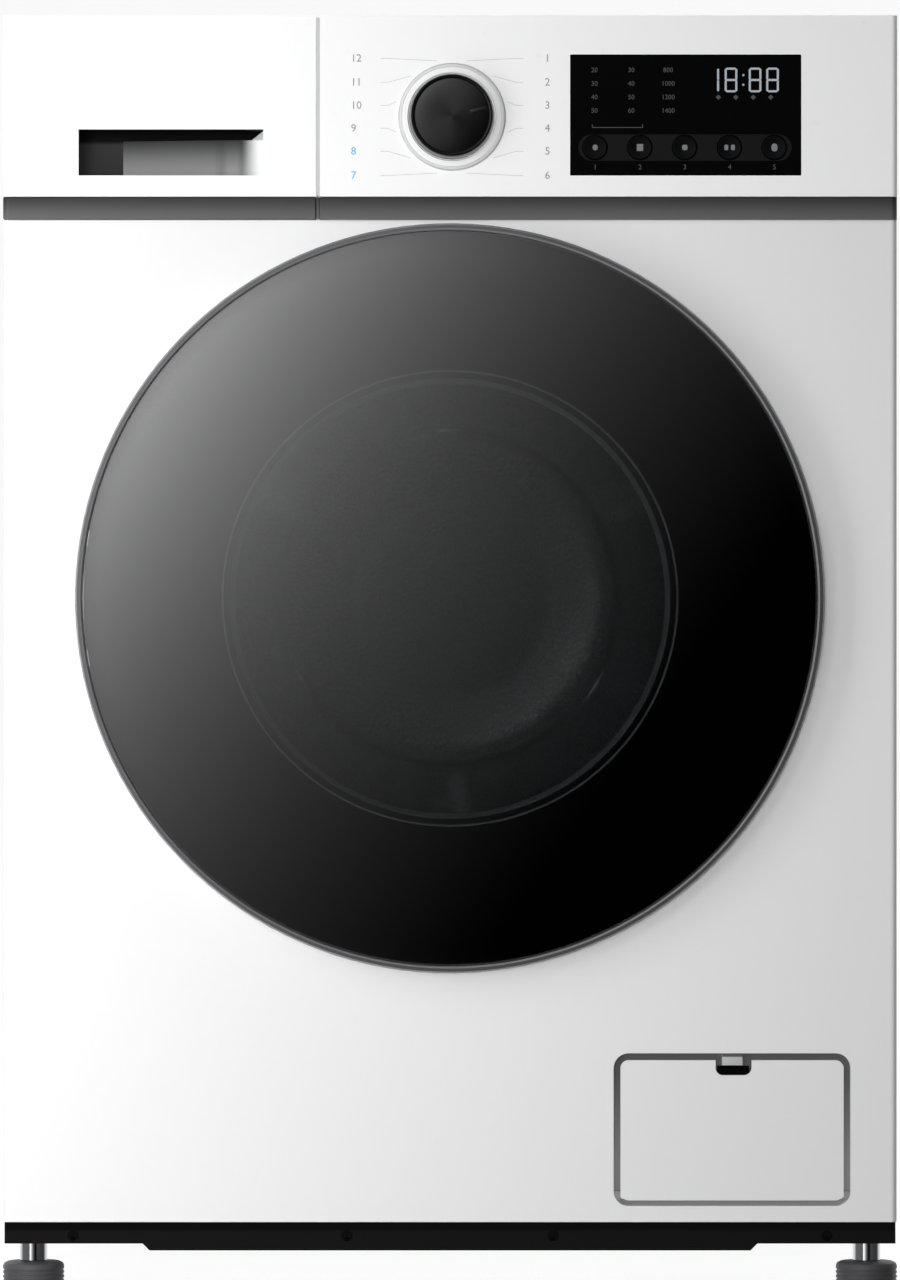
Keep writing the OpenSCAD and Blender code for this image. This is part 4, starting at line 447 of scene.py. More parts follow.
# Pale grey as painted shade on the seam's lip, the flap's latch tab and the side of the dial's ring: satin.
PALE_GREY_PAINTED_SHADE = Finish("moulded_abs_pale_grey", "c4c5c5", 0.45, grain_mm=0.8, tone=0.03, uneven=0.05)
# Lacquered ABS with a graphite metallic flake: dark grey, satin, with painted shade that darkens its upper
# edge.
GRAPHITE_PAINTED_SHADE = Graded("graphite_lacquer", "676768", 0.38, 0.25, grain_mm=0.5, relief_mm=0.004,
                  tone=0.06, uneven=0.06, far_colour="2f2f30", start_mm=713.0, end_mm=731.0)
# Chromium on ABS: mirror bright.
CHROME = Finish("chromium_plating", "d7d9db", 0.13, 1.0, grain_mm=1.5, tone=0.02, uneven=0.03)
# Metallic lacquer of the door's rim: an even dark steel grey with soft highlights.
RIM_LACQUER = Finish("steel_grey_lacquer", "58585a", 0.34, 0.35, grain_mm=0.8, tone=0.04, uneven=0.04)
# The same lacquer with painted highlights beside the rim's flat face: thin lighter lines.
RIM_PAINTED_HIGHLIGHT = Finish("steel_grey_lacquer_polished", "9b9b9d", 0.26, 0.35, grain_mm=0.8, tone=0.03,
                  uneven=0.04)
# Silver lacquer round the dial: light grey, satin.
SATIN = Finish("satin_lacquer_silver", "e0e0e1", 0.36, 0.15, grain_mm=0.4, tone=0.04, uneven=0.05)
# White gloss lacquer of the dial's inner ring.
RING_WHITE = Finish("gloss_lacquer_white", "fbfbfb", 0.2, grain_mm=0.6, tone=0.01, uneven=0.03)
# Lacquered knob with turning marks: dark with a fan of soft light across it.
KNOB = SpunMetal("turned_lacquered_knob", "060607", 0.26, ior=1.54, grain_mm=1.0, tone=0.04, uneven=0.004,
                 centre=(0.0013, -0.28, 0.7824), stretch=0.85)
# Key caps in soft touch lacquer: black, blurred light.
KEY_ABS = Finish("soft_touch_lacquer", "060607", 0.45, grain_mm=0.4, relief_mm=0.004, tone=0.05,
                 uneven=0.05, specular=0.12)
# Back painted glass behind an anti-glare layer: black that mirrors very little.
BLACK_GLASS = Finish("back_painted_glass", "020202", 0.1, ior=1.52, grain_mm=8.0, tone=0.05, uneven=0.02,
                     specular=0.08)
# The sunk strip that holds the keys: a little lighter than the window.
KEY_STRIP = Finish("textured_polycarbonate_black", "0c0c0c", 0.4, grain_mm=0.5, tone=0.06, uneven=0.05,
                   specular=0.2)
# Black zinc on steel screws: dark and dull.
ZINC_BLACK = Finish("black_zinc_plating", "040404", 0.6, grain_mm=0.5, tone=0.08, uneven=0.08,
                    specular=0.15)
# Painted shadow: black that stands for the shaded bottom of a screw's recess, and for the shade under the
# latch tab.
BLACK_PAINTED_SHADOW = Finish("blackened_recess", "020202", 0.8, grain_mm=0.5, tone=0.2, specular=0.1)
# Ceramic print on the inside of the lens' edge: matt black.
LENS_PRINT = Finish("ceramic_print_black", "020202", 1.0, grain_mm=80.0, tone=0.04, specular=0.0)
# Thick acrylic smoked in the mass: a dark veil that shapes show through.
SMOKED = ClearBody("smoked_acrylic", "9a9a9b", 0.02, ior=1.49, coat=1.0, grain_mm=30.0)
# Pressed heat resisting glass: clear, with slow waves.
CLEAR = ClearBody("pressed_borosilicate_glass", "f2f6f5", 0.02, ior=1.47, grain_mm=22.0, relief_mm=0.05)
# Polypropylene of trays and pumps: pale, waxy.
PALE_PP = Finish("polypropylene_pale", "dfe2e3", 0.46, grain_mm=0.9, relief_mm=0.01,
                 tone=0.02, uneven=0.05)
# Glass filled polypropylene of the tub: grey white and dull.
TUB_PP = Finish("glass_filled_polypropylene", "c9cac7", 0.58, grain_mm=1.4, relief_mm=0.03,
                tone=0.04, uneven=0.06)
# Moulded EPDM rubber of the bellows: grey, matt and soft.
GREY_RUBBER = Finish("epdm_rubber_grey", "8b8e91", 0.62, grain_mm=0.7, relief_mm=0.02,
                     tone=0.05, uneven=0.05)
# Black rubber of belt and hoses: matt.
BLACK_RUBBER = Finish("epdm_rubber_black", "1c1c1d", 0.66, grain_mm=0.7, relief_mm=0.03,
                      tone=0.08, uneven=0.06)
# Rolled stainless steel with pressed holes, drawn at their real spacing.
DRUM_STEEL = Perforated("perforated_stainless_steel", "c3c5c6", 0.27, 1.0, grain_mm=0.8,
                        tone=0.04, uneven=0.07)
# Rolled stainless steel: a soft, bright gloss with a slight grain.
STAINLESS = Finish("rolled_stainless_steel", "c3c5c6", 0.27, 1.0, grain_mm=0.8, relief_mm=0.004,
                   tone=0.04, uneven=0.07)
# Die cast aluminium: light grey, slightly blotched.
CAST_ALUMINIUM = Cast("die_cast_aluminium", "a9abad", 0.5, 1.0, grain_mm=5.0, relief_mm=0.08,
                      tone=0.08, uneven=0.1)
# Cast concrete: grey, matt, with pores.
CONCRETE = Cast("cast_concrete", "8d8c88", 0.85, grain_mm=9.0, relief_mm=0.5, tone=0.16, uneven=0.08)
# Epoxy laminate of the circuit board: dark green, slight gloss.
BOARD = Finish("epoxy_glass_laminate", "1f4a35", 0.4, grain_mm=2.0, relief_mm=0.01, tone=0.08, uneven=0.05)
# Moulded nylon of the foot pads: dark grey with a satin skin.
FOOT_NYLON = Finish("moulded_nylon_dark", "4b4b4d", 0.48, grain_mm=0.8, relief_mm=0.01,
                    tone=0.06, uneven=0.06)
# Silk screened ink: flat grey.
PRINT_GREY = Finish("screen_ink_grey", "8b8e91", 0.6, grain_mm=0.4, tone=0.05)
# The same ink laid on thinly: pale lines.
PRINT_PALE = Finish("screen_ink_pale", "c6c8ca", 0.6, grain_mm=0.4, tone=0.05)
# Silk screened ink: flat, clear blue.
PRINT_BLUE = Finish("screen_ink_blue", "52b0dc", 0.6, grain_mm=0.4, tone=0.05)
# Segments lit from behind: pale, slightly blue.
LIT = Glow("lit_segment", "dfe8f0", 0.5, grain_mm=2.0, power=0.5, specular=0.1)
# Dim printed legends seen through the window: grey.
DIM = Glow("dim_legend", "9aa0a6", 0.5, grain_mm=2.0, power=0.2, specular=0.1)
# Key symbols, lit a little more.
SYMBOL = Glow("lit_symbol", "c4c9ce", 0.5, grain_mm=2.0, power=0.3, specular=0.1)

# The finish of each slot's nodes, where a piece has no other one.
SLOT_FINISH = {
    "white_enamel": ENAMEL, "white_plastic": WHITE_ABS, "worktop_laminate": LAMINATE,
    "zinc_steel": ZINC, "black_plastic": BLACK_ABS, "grey_plastic": GRAPHITE_PAINTED_SHADE,
    "bright_metal": CHROME, "display_glass": BLACK_GLASS, "key_plastic": KEY_ABS,
    "smoked_glass": SMOKED, "clear_glass": CLEAR, "pale_plastic": PALE_PP,
    "tub_plastic": TUB_PP, "grey_rubber": GREY_RUBBER, "black_rubber": BLACK_RUBBER,
    "stainless_steel": STAINLESS, "cast_metal": CAST_ALUMINIUM, "concrete": CONCRETE,
    "board_resin": BOARD, "foot_plastic": FOOT_NYLON,
}


# ---------- modelling by hand ----------

SPECK = 0.001  # radius of a ring that closes to a point
MERGE = 0.004  # corners of a node nearer than this are one
FLAT = 0.6  # degrees between faces that are level with each other
SHARP = 35.0  # degrees from which an edge is rounded
SMOOTH = 32.0  # degrees up to which faces are shaded as one
TURNED_SMOOTH = 24.0  # the same on a turned piece
INK = 0.04  # how far printed digits stand off their face
DIGIT_SHARE = 0.72  # how much of the letter size a digit is high


class Axis(Enum):
    """Direction of a turning axis: from front to back, or upwards."""

    DEPTH = 1
    HEIGHT = 2


class Along(Enum):
    """Where a line of text is anchored."""

    LEFT = "LEFT"
    CENTRE = "CENTER"
    RIGHT = "RIGHT"


def fresh() -> None:
    """Leaves edit mode and selects nothing."""
    if bpy.context.object is not None and bpy.context.object.mode != "OBJECT":
        bpy.ops.object.mode_set(mode="OBJECT")
    bpy.ops.object.select_all(action="DESELECT")


def only(piece: Piece) -> None:
    """Makes a piece the one that is selected and active."""
    fresh()
    piece.select_set(True)
    bpy.context.view_layer.objects.active = piece


def open_all() -> None:
    """Opens the active piece in edit mode with all of it selected."""
    bpy.ops.object.mode_set(mode="EDIT")
    bpy.ops.mesh.select_all(action="SELECT")


def face_out() -> None:
    """Turns every face of the piece in edit mode outwards."""
    bpy.ops.mesh.select_all(action="SELECT")
    bpy.ops.mesh.normals_make_consistent(inside=False)


def smooth(angle: float) -> None:
    """Leaves edit mode and shades faces as one up to an angle in degrees."""
    bpy.ops.object.mode_set(mode="OBJECT")
    bpy.ops.object.shade_smooth_by_angle(angle=math.radians(angle))


def settle(name: str) -> Piece:
    """Names the active piece and moves its place into its mesh.

    Args:
        name: name of the piece.

    Returns:
        The piece.
    """
    bpy.ops.object.mode_set(mode="OBJECT")
    bpy.ops.object.transform_apply(location=True, rotation=True, scale=True)
    piece = bpy.context.object
    piece.name = piece.data.name = name
    return piece


def pick(piece: Piece, ends: Callable[[Vector], bool]) -> None:
    """Selects the edges of a piece in edit mode whose two ends pass a test.

    Args:
        piece: the piece that is edited.
        ends: test of an edge's end, in metres.
    """
    bpy.ops.mesh.select_mode(type="EDGE")
    bpy.ops.mesh.select_all(action="DESELECT")
    work = bmesh.from_edit_mesh(piece.data)
    for edge in work.edges:
        if all(ends(corner.co) for corner in edge.verts):
            edge.select_set(True)
    work.select_flush_mode()
    bmesh.update_edit_mesh(piece.data)


def modify(piece: Piece, kind: str, settings: dict) -> None:
    """Gives a piece a modifier and applies it.

    Args:
        piece: the piece.
        kind: type of the modifier.
        settings: values by property name.
    """
    only(piece)
    modifier = piece.modifiers.new("shape", kind)
    for key, value in settings.items():
        setattr(modifier, key, value)
    bpy.ops.object.modifier_apply(modifier=modifier.name)


def soften(piece: Piece, width: float) -> None:
    """Rounds the sharp edges of a piece, smooths what is nearly level and keeps large faces flat.

    Args:
        piece: the piece.
        width: width of the rounding.
    """
    modify(piece, "BEVEL", {"width": width * MM, "segments": 2, "limit_method": "ANGLE",
                            "angle_limit": math.radians(SHARP)})
    smooth(SMOOTH)
    modify(piece, "WEIGHTED_NORMAL", {"mode": "FACE_AREA", "weight": 100, "keep_sharp": True})


def copy_of(node: str, name: str) -> Piece:
    """Copies a node of the frame into a piece of its own with merged, level faces.

    Args:
        node: the node's name.
        name: the piece's name.

    Returns:
        The copy.
    """
    piece = frame["nodes"][node].copy()
    piece.data = piece.data.copy()
    piece.data.materials.clear()
    for key in list(piece.keys()):
        del piece[key]
    piece.parent = None
    bpy.context.scene.collection.objects.link(piece)
    only(piece)
    open_all()
    bpy.ops.mesh.remove_doubles(threshold=MERGE * MM)
    bpy.ops.mesh.dissolve_limited(angle_limit=math.radians(FLAT))
    bpy.ops.object.mode_set(mode="OBJECT")
    piece.name = piece.data.name = name
    return piece


def cut_box(piece: Piece, x: Pair, y: Pair, z: Pair) -> None:
    """Cuts a box out of a piece.

    Args:
        piece: the piece.
        x: left and right end.
        y: front and back.
        z: lower and upper end.
    """
    fresh()
    bpy.ops.mesh.primitive_cube_add(size=1, location=[sum(ends) / 2 * MM for ends in (x, y, z)])
    bpy.context.object.scale = [(high - low) * MM for low, high in (x, y, z)]
    cutter = settle("cutter")
    modify(piece, "BOOLEAN", {"operation": "DIFFERENCE", "solver": "EXACT", "object": cutter})
    bpy.data.objects.remove(cutter)


def turned(name: str, x: float, other: float, profile: Sequence[Pair], sides: int = 160,
           axis: Axis = Axis.DEPTH) -> Piece:
    """Turns a piece round an axis, ring after ring.

    Args:
        name: name of the piece.
        x: place of the axis.
        other: height of an axis from front to back, or Y of an upright one.
        profile: radius of each ring and its place along the axis.
        sides: facets round it.
        axis: direction of the axis.

    Returns:
        The turned piece.
    """
    fresh()
    deep = axis is Axis.DEPTH
    radius, place = max(profile[0][0], SPECK), profile[0][1]
    centre = [part * MM for part in ((x, place, other) if deep else (x, other, place))]
    bpy.ops.mesh.primitive_circle_add(vertices=sides, radius=radius * MM, fill_type="NOTHING",
                                      location=centre, rotation=(math.pi / 2 if deep else 0, 0, 0))
    open_all()
    for next_radius, next_place in profile[1:]:
        next_radius = max(next_radius, SPECK)
        share, step = next_radius / radius, (next_place - place) * MM
        bpy.ops.mesh.extrude_edges_move()
        bpy.ops.transform.resize(value=(share, 1, share) if deep else (share, share, 1),
                                 center_override=centre)
        bpy.ops.transform.translate(value=(0, step, 0) if deep else (0, 0, step))
        radius, place = next_radius, next_place
    bpy.ops.mesh.select_all(action="SELECT")
    bpy.ops.mesh.remove_doubles(threshold=2.5 * SPECK * MM)
    face_out()
    piece = settle(name)
    smooth(TURNED_SMOOTH)
    return piece


def plate(name: str, middle: Pair, size: Pair, y: Pair, corner: float, edge: float = 0,
          steps: int = 2) -> Piece:
    """Makes a plate that faces -Y, with rounded corners and a rounded front edge.

    Args:
        name: name of the piece.
        middle: its middle along X and Z.
        size: its width and height.
        y: front and back.
        corner: radius of its four corners, or 0.
        edge: radius of its front edge, or 0.
        steps: facets round a corner.

    Returns:
        The plate.
    """
    fresh()
    place = (middle[0] * MM, y[0] * MM, middle[1] * MM)
    bpy.ops.mesh.primitive_plane_add(size=1, location=place, rotation=(math.pi / 2, 0, 0))
    bpy.context.object.scale = (size[0] * MM, size[1] * MM, 1)
    piece = settle(name)
    open_all()
    if corner:
        bpy.ops.mesh.bevel(offset=corner * MM, segments=steps, affect="VERTICES")
    bpy.ops.mesh.select_all(action="SELECT")
    bpy.ops.mesh.extrude_region_move(TRANSFORM_OT_translate={"value": (0, (y[1] - y[0]) * MM, 0)})
    face_out()
    if edge:
        pick(piece, lambda end: end.y < (y[0] + SPECK) * MM)
        bpy.ops.mesh.bevel(offset=edge * MM, segments=3, affect="EDGES")
    smooth(SMOOTH)
    return piece


def lettering(name: str, words: str, x: float, z: float, y: float, height: float,
              along: Along = Along.CENTRE) -> Piece:
    """Makes a number as thin raised print on a face towards -Y.

    Args:
        name: name of the piece.
        words: the digits.
        x: place of the anchor.
        z: height of the middle.
        y: face that carries it.
        height: height of a digit.
        along: which end is anchored.

    Returns:
        The lettering as a mesh.
    """
    fresh()
    bpy.ops.object.text_add(location=(x * MM, y * MM, z * MM), rotation=(math.pi / 2, 0, 0))
    text = bpy.context.object.data
    text.body, text.size = words, height * MM / DIGIT_SHARE
    text.align_x, text.align_y = along.value, "CENTER"
    text.extrude, text.resolution_u = INK * MM, 3
    bpy.ops.object.convert(target="MESH")
    return settle(name)


def joined(name: str, pieces: Iterable[Piece]) -> Piece:
    """Joins pieces into one.

    Args:
        name: name of the result.
        pieces: the pieces.

    Returns:
        The one piece.
    """
    pieces = list(pieces)
    fresh()
    for piece in pieces:
        piece.select_set(True)
    bpy.context.view_layer.objects.active = pieces[0]
    bpy.ops.object.join()
    return settle(name)


def copied(piece: Piece, name: str, move: Sequence[float]) -> Piece:
    """Copies a piece with its own mesh to another place.

    Args:
        piece: what is copied.
        name: name of the copy.
        move: how far it goes along X, Y and Z.

    Returns:
        The copy.
    """
    only(piece)
    bpy.ops.object.duplicate()
    twin = bpy.context.object
    for key in list(twin.keys()):
        del twin[key]
    twin.location = Vector(move) * MM
    return settle(name)


def dress(piece: Piece, finish: Finish, body: str, replaces: Sequence[str] = ()) -> Piece:
    """Gives a piece its finish, its body and what it stands for.

    Args:
        piece: the piece.
        finish: its finish.
        body: the body that it rides on.
        replaces: nodes that it stands for.

    Returns:
        The piece.
    """
    piece.data.materials.clear()
    piece.data.materials.append(finish.material())
    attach(piece, body)
    if replaces:
        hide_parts(*replaces)
    LOG.info("%s rides on %s in %s", piece.name, body, finish.name)
    return piece


def stand_in(piece: Piece, node: str, finish: Finish | None = None) -> Piece:
    """Dresses a piece that stands for a node, as the node's slot says or in another finish."""
    finish = finish or SLOT_FINISH[SLOT_OF[node]]
    return dress(piece, finish, BODY_OF[node], [node])


def keep(node: str, name: str, width: float, finish: Finish | None = None) -> Piece:
    """Copies a node, rounds the copy's edges and lets it stand for the node.

    Args:
        node: the node's name.
        name: the piece's name.
        width: width of the rounding.
        finish: the piece's finish, if it isn't that of the node's slot.

    Returns:
        The piece.
    """
    piece = copy_of(node, name)
    soften(piece, width)
    return stand_in(piece, node, finish)


def paint(piece: Piece, finish: Finish, faces: Test) -> None:
    """Gives a further finish to some faces of a dressed piece.

    Args:
        piece: the piece.
        finish: the further finish.
        faces: test of a face's middle, in mm, and its normal.
    """
    piece.data.materials.append(finish.material())
    changed = [face for face in piece.data.polygons if faces(face.center / MM, face.normal)]
    for face in changed:
        face.material_index = len(piece.data.materials) - 1
    LOG.info("%s has %d faces in %s", piece.name, len(changed), finish.name)


def span(node: str) -> tuple[Vector, Vector]:
    """Lowest and highest corner of a node in mm."""
    low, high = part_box(node)
    return low / MM, high / MM


# ---------- studio ----------

@dataclass
class Softbox:
    """One soft box, with its places and sizes in metres."""

    name: str
    place: tuple[float, float, float]
    aim: tuple[float, float, float]
    size: Pair
    power: float
    shadow: bool = True

    def build(self) -> None:
        """Adds the lamp, which neither the camera nor a gloss shows."""
        fresh()
        bpy.ops.object.light_add(type="AREA", location=self.place)
        lamp = bpy.context.object
        lamp.name = self.name
        lamp.data.shape = "RECTANGLE"
        lamp.data.size, lamp.data.size_y = self.size
        lamp.data.energy = self.power
        lamp.data.use_shadow = self.shadow
        lamp.visible_camera = lamp.visible_glossy = lamp.visible_transmission = False
        lamp.rotation_euler = (Vector(self.aim) - Vector(self.place)).to_track_quat("-Z", "Y").to_euler()


@dataclass
class Studio:
    """Camera, soft lights, pale floor and backdrop, with places in metres."""

    camera_y: float = -5.257
    camera_z: float = 0.4347
    lens: float = 211.3
    floor_side: float = 16.0
    floor_level: float = 0.86
    curve_steps: int = 6
    floor_smooth: float = 40.0  # degrees up to which its faces are shaded as one
    curve_step: float = 0.3
    wall_high: float = 7.0
    glow: float = 0.262
    glow_slope: Pair = (-5.7, 4.0)  # growth along X and Z
    glow_drop: float = 0.05
    glow_range: Pair = (0.002, 3.4)
    glow_from: Pair = (-0.84, -0.92)  # Y of a direction where the glow begins and is full
    room: Pair = (0.05, 0.16)  # level at the right and at the left
    behind_from: Pair = (0.05, 0.7)
    behind: float = 0.9
    lamps: tuple[Softbox, ...] = (
        Softbox("box_left", (-0.62, -0.91, 0.45), (-0.2, -0.26, 0.42), (0.5, 1.5), 8.8, shadow=False),
        Softbox("box_front", (-0.1, -5.0, 0.55), (0.0, -0.26, 0.45), (0.5, 0.5), 50.0),
        Softbox("box_above", (0.0, 0.3, 2.4), (0, 0.1, 0.8), (1.6, 1.2), 14.0))

    def build(self) -> None:
        """Makes everything that isn't the machine."""
        self.camera()
        for lamp in self.lamps:
            lamp.build()
        self.floor()
        self.surround()

    def camera(self) -> None:
        """Places the camera straight in front, far away, at half the machine's height."""
        fresh()
        bpy.ops.object.camera_add(location=(0, self.camera_y, self.camera_z), rotation=(math.pi / 2, 0, 0))
        camera = bpy.context.object
        camera.data.lens = self.lens
        camera.data.clip_end = 60
        bpy.context.scene.camera = camera
        bpy.context.scene.view_settings.view_transform = "Standard"

    def floor(self) -> None:
        """Lays a pale floor whose far end curves up into a backdrop."""
        fresh()
        bpy.ops.mesh.primitive_plane_add(size=1, location=(0, 0, 0))
        bpy.context.object.scale = (self.floor_side, self.floor_side, 1)
        floor = settle("floor")
        bpy.ops.object.mode_set(mode="EDIT")
        pick(floor, lambda end: end.y > self.floor_side / 2 - 0.1)
        step = self.curve_step
        angles = [math.pi / 2 * (i + 0.5) / self.curve_steps for i in range(self.curve_steps)]
        moves = [(0, step * math.cos(a), step * math.sin(a)) for a in angles]
        for move in moves + [(0, 0, self.wall_high)]:
            bpy.ops.mesh.extrude_edges_move(TRANSFORM_OT_translate={"value": move})
        smooth(self.floor_smooth)
        paper = Finish("studio_paper", "9a9a9a", 0.8, grain_mm=3.0, tone=0.01).material()
        shader = paper.node_tree.nodes["Principled BSDF"]
        shader.inputs["Emission Color"].default_value = (1, 1, 1, 1)
        shader.inputs["Emission Strength"].default_value = self.floor_level
        floor.data.materials.append(paper)
        floor.visible_glossy = floor.visible_diffuse = floor.visible_transmission = False

    def surround(self) -> None:
        """Fills the room with dim light, brighter behind, and the front with a glow that fades right."""
        world = bpy.data.worlds.new("room")
        bpy.context.scene.world = world
        world.use_nodes = True
        nodes = Nodes(world.node_tree, world.node_tree.nodes["Background"])
        parts = nodes.add("SeparateXYZ", {}, {"Vector": nodes.add("TexCoord").outputs["Generated"]})
        x, y, z = (parts.outputs[name] for name in "XYZ")
        glow = nodes.add("Math", {"operation": "MULTIPLY", 1: self.glow_slope[0]}, {0: x})
        glow = nodes.add("Math", {"operation": "MULTIPLY_ADD", 1: self.glow_slope[1]}, {0: z, 2: glow})
        for operation, value in (("EXPONENT", 0.0), ("MULTIPLY", self.glow), ("SUBTRACT", self.glow_drop),
                                 ("MAXIMUM", self.glow_range[0]), ("MINIMUM", self.glow_range[1])):
            glow = nodes.add("Math", {"operation": operation, 1: value}, {0: glow})
        soft = {"interpolation_type": "SMOOTHSTEP"}
        front = nodes.add("MapRange", soft | {"From Min": self.glow_from[0], "From Max": self.glow_from[1]},
                          {"Value": y})
        room = nodes.add("MapRange", {"From Min": 1.0, "From Max": -1.0, "To Min": self.room[0],
                                      "To Max": self.room[1]}, {"Value": x})
        behind = nodes.add("MapRange", soft | {"From Min": self.behind_from[0], "To Max": self.behind,
                                               "From Max": self.behind_from[1]}, {"Value": y})
        around = nodes.add("Math", {"operation": "ADD"}, {0: room, 1: behind})
        nodes.feed("Strength", nodes.add("Mix", {"data_type": "FLOAT"}, {0: front, 2: around, 3: glow}))
        nodes.shader.inputs["Color"].default_value = (1, 1, 1, 1)


# ---------- the machine ----------

@dataclass
class Cabinet:
    """Sheet steel body, worktop, kick plate and its screws."""

    edge: float = 0.5
    worktop_edge: float = 0.9
    screw_x: tuple[float, ...] = (-250.9, -68.6, 68.6, 250.9)
    screw_z: float = 36.3
    screw_room: Pair = (20.0, 6.0)  # reach of the kick screws behind the face and over their middle
    cross: Pair = (3.8, 0.9)
    face_y: float = -257.0
    rear_y: float = 283.0
    cap_r: float = 17.5
    cap_deep: float = 12.0
    caps: tuple[Pair, ...] = ((-217.0, 280.0), (217.0, 280.0), (-217.0, 640.0), (217.0, 640.0))

    def build(self) -> None:
        """Makes the body's pieces."""
        keep("cabinet_wrap", "cabinet_sheets", self.edge)
        keep("front_panel", "panel_front", self.edge)
        keep("worktop", "worktop_board", self.worktop_edge)
        # The kick strip's top edge carries a painted shadow.
        keep("kick_plate", "kick_strip", self.edge, KICK_ABS_PAINTED_SHADOW)
        fixings = keep("fasteners", "screws_and_caps", self.edge / 2)
        paint(fixings, ZINC_BLACK, lambda at, normal: at.y < self.face_y + self.screw_room[0]
              and at.z < self.screw_z + self.screw_room[1])
        paint(fixings, PALE_PP, lambda at, normal: at.y > self.rear_y - self.cap_deep and any(
            math.hypot(at.x - x, at.z - z) < self.cap_r for x, z in self.caps))
        self.recesses()

    def recesses(self) -> None:
        """Gives each kick screw a black cross: the painted shadow of its recess."""
        first_x, y = self.screw_x[0], (self.face_y - 0.2, self.face_y + 0.4)
        first = joined("kick_screw_recess_1", [
            plate(f"cross_{turn}", (first_x, self.screw_z), size, y, 0.2, 0.1)
            for turn, size in enumerate((self.cross[::-1], self.cross))])
        for i, x in enumerate(self.screw_x, 1):
            made = first if i == 1 else copied(first, f"kick_screw_recess_{i}", (x - first_x, 0, 0))
            dress(made, BLACK_PAINTED_SHADOW, "cabinet")


@dataclass
class Fascia:
    """Moulded fascia, accent band and the dial's print."""

    face_y: float = -263.0
    rows: tuple[float, ...] = (821.3, 805.4, 790.0, 774.8, 759.5, 743.4)
    blue_from: int = 4
    left_x: float = -65.9
    right_x: float = 66.6
    digit: float = 5.2
    knob_x: float = 1.3
    knob_z: float = 782.4
    lead_start: float = 47.5
    lead_bend: float = 42.5
    lead_end: float = 38.6
    lead_wide: float = 0.35
    lead_thick: float = 0.02
    seam_x: float = -87.75
    seam_wide: float = 2.2

    def build(self) -> None:
        """Makes the fascia's pieces and the print."""
        keep("control_fascia", "fascia_moulding", 0.8)
        # The band's grey darkens towards its top as painted shade.
        keep("accent_band", "band_right", 1.6)
        self.seam()
        self.numbers()
        self.leads()

    def seam(self) -> None:
        """Makes the lip that closes the seam beside the drawer, with its stretch at the band; the lip's
        pale grey is painted shade of the seam.
        """
        for name, low, high, sunk, finish, slot in (
                ("seam_lip", 729.9, 848.6, 0.4, PALE_GREY_PAINTED_SHADE, "white_plastic"),
                ("seam_lip_band", 715.0, 729.2, 3.5, GRAPHITE_PAINTED_SHADE, "grey_plastic")):
            dress(plate(name, (self.seam_x, (low + high) / 2), (self.seam_wide, high - low),
                        (self.face_y + sunk, self.face_y + 9.0), 0.3, 0.3), finish, "cabinet")

    def numbers(self) -> None:
        """Prints a plain number beside each stop of the dial, the lowest left two in blue."""
        grey, blue = [], []
        for i, z in enumerate(self.rows):
            left = lettering(f"n_{i}", str(12 - i), self.left_x, z, self.face_y, self.digit, Along.LEFT)
            (blue if i >= self.blue_from else grey).append(left)
            grey.append(lettering(f"m_{i}", str(i + 1), self.right_x, z, self.face_y, self.digit,
                                  Along.RIGHT))
        dress(joined("dial_numbers", grey), PRINT_GREY, "cabinet")
        dress(joined("dial_numbers_cold", blue), PRINT_BLUE, "cabinet")

    def leads(self) -> None:
        """Prints the thin lines that lead from the numbers to the ring."""
        lines = []
        for i, z in enumerate(self.rows):
            angle = math.radians(90 - (i + 0.5) * 180 / len(self.rows))
            for side in (-1, 1):
                end = (self.knob_x + side * self.lead_end * math.cos(angle),
                       self.knob_z + self.lead_end * math.sin(angle))
                bend = (self.knob_x + side * self.lead_bend, z)
                start = (self.knob_x + side * self.lead_start, z)
                lines += [self.line(f"lead_{i}_{side}_a", start, bend),
                          self.line(f"lead_{i}_{side}_b", bend, end)]
        dress(joined("dial_leads", lines), PRINT_PALE, "cabinet")

    def line(self, name: str, a: Pair, b: Pair) -> Piece:
        """Prints one thin line between two points of the face.

        Args:
            name: name of the line.
            a: its start.
            b: its end.

        Returns:
            The line.
        """
        fresh()
        thick = self.lead_thick * MM
        middle = ((a[0] + b[0]) / 2 * MM, self.face_y * MM - thick, (a[1] + b[1]) / 2 * MM)
        bpy.ops.mesh.primitive_plane_add(size=1, location=middle, rotation=(
            math.pi / 2, -math.atan2(b[1] - a[1], b[0] - a[0]), 0))
        bpy.context.object.scale = (math.dist(a, b) * MM, self.lead_wide * MM, 1)
        settle(name)
        open_all()
        bpy.ops.mesh.extrude_region_move(TRANSFORM_OT_translate={"value": (0, thick, 0)})
        face_out()
        return settle(name)


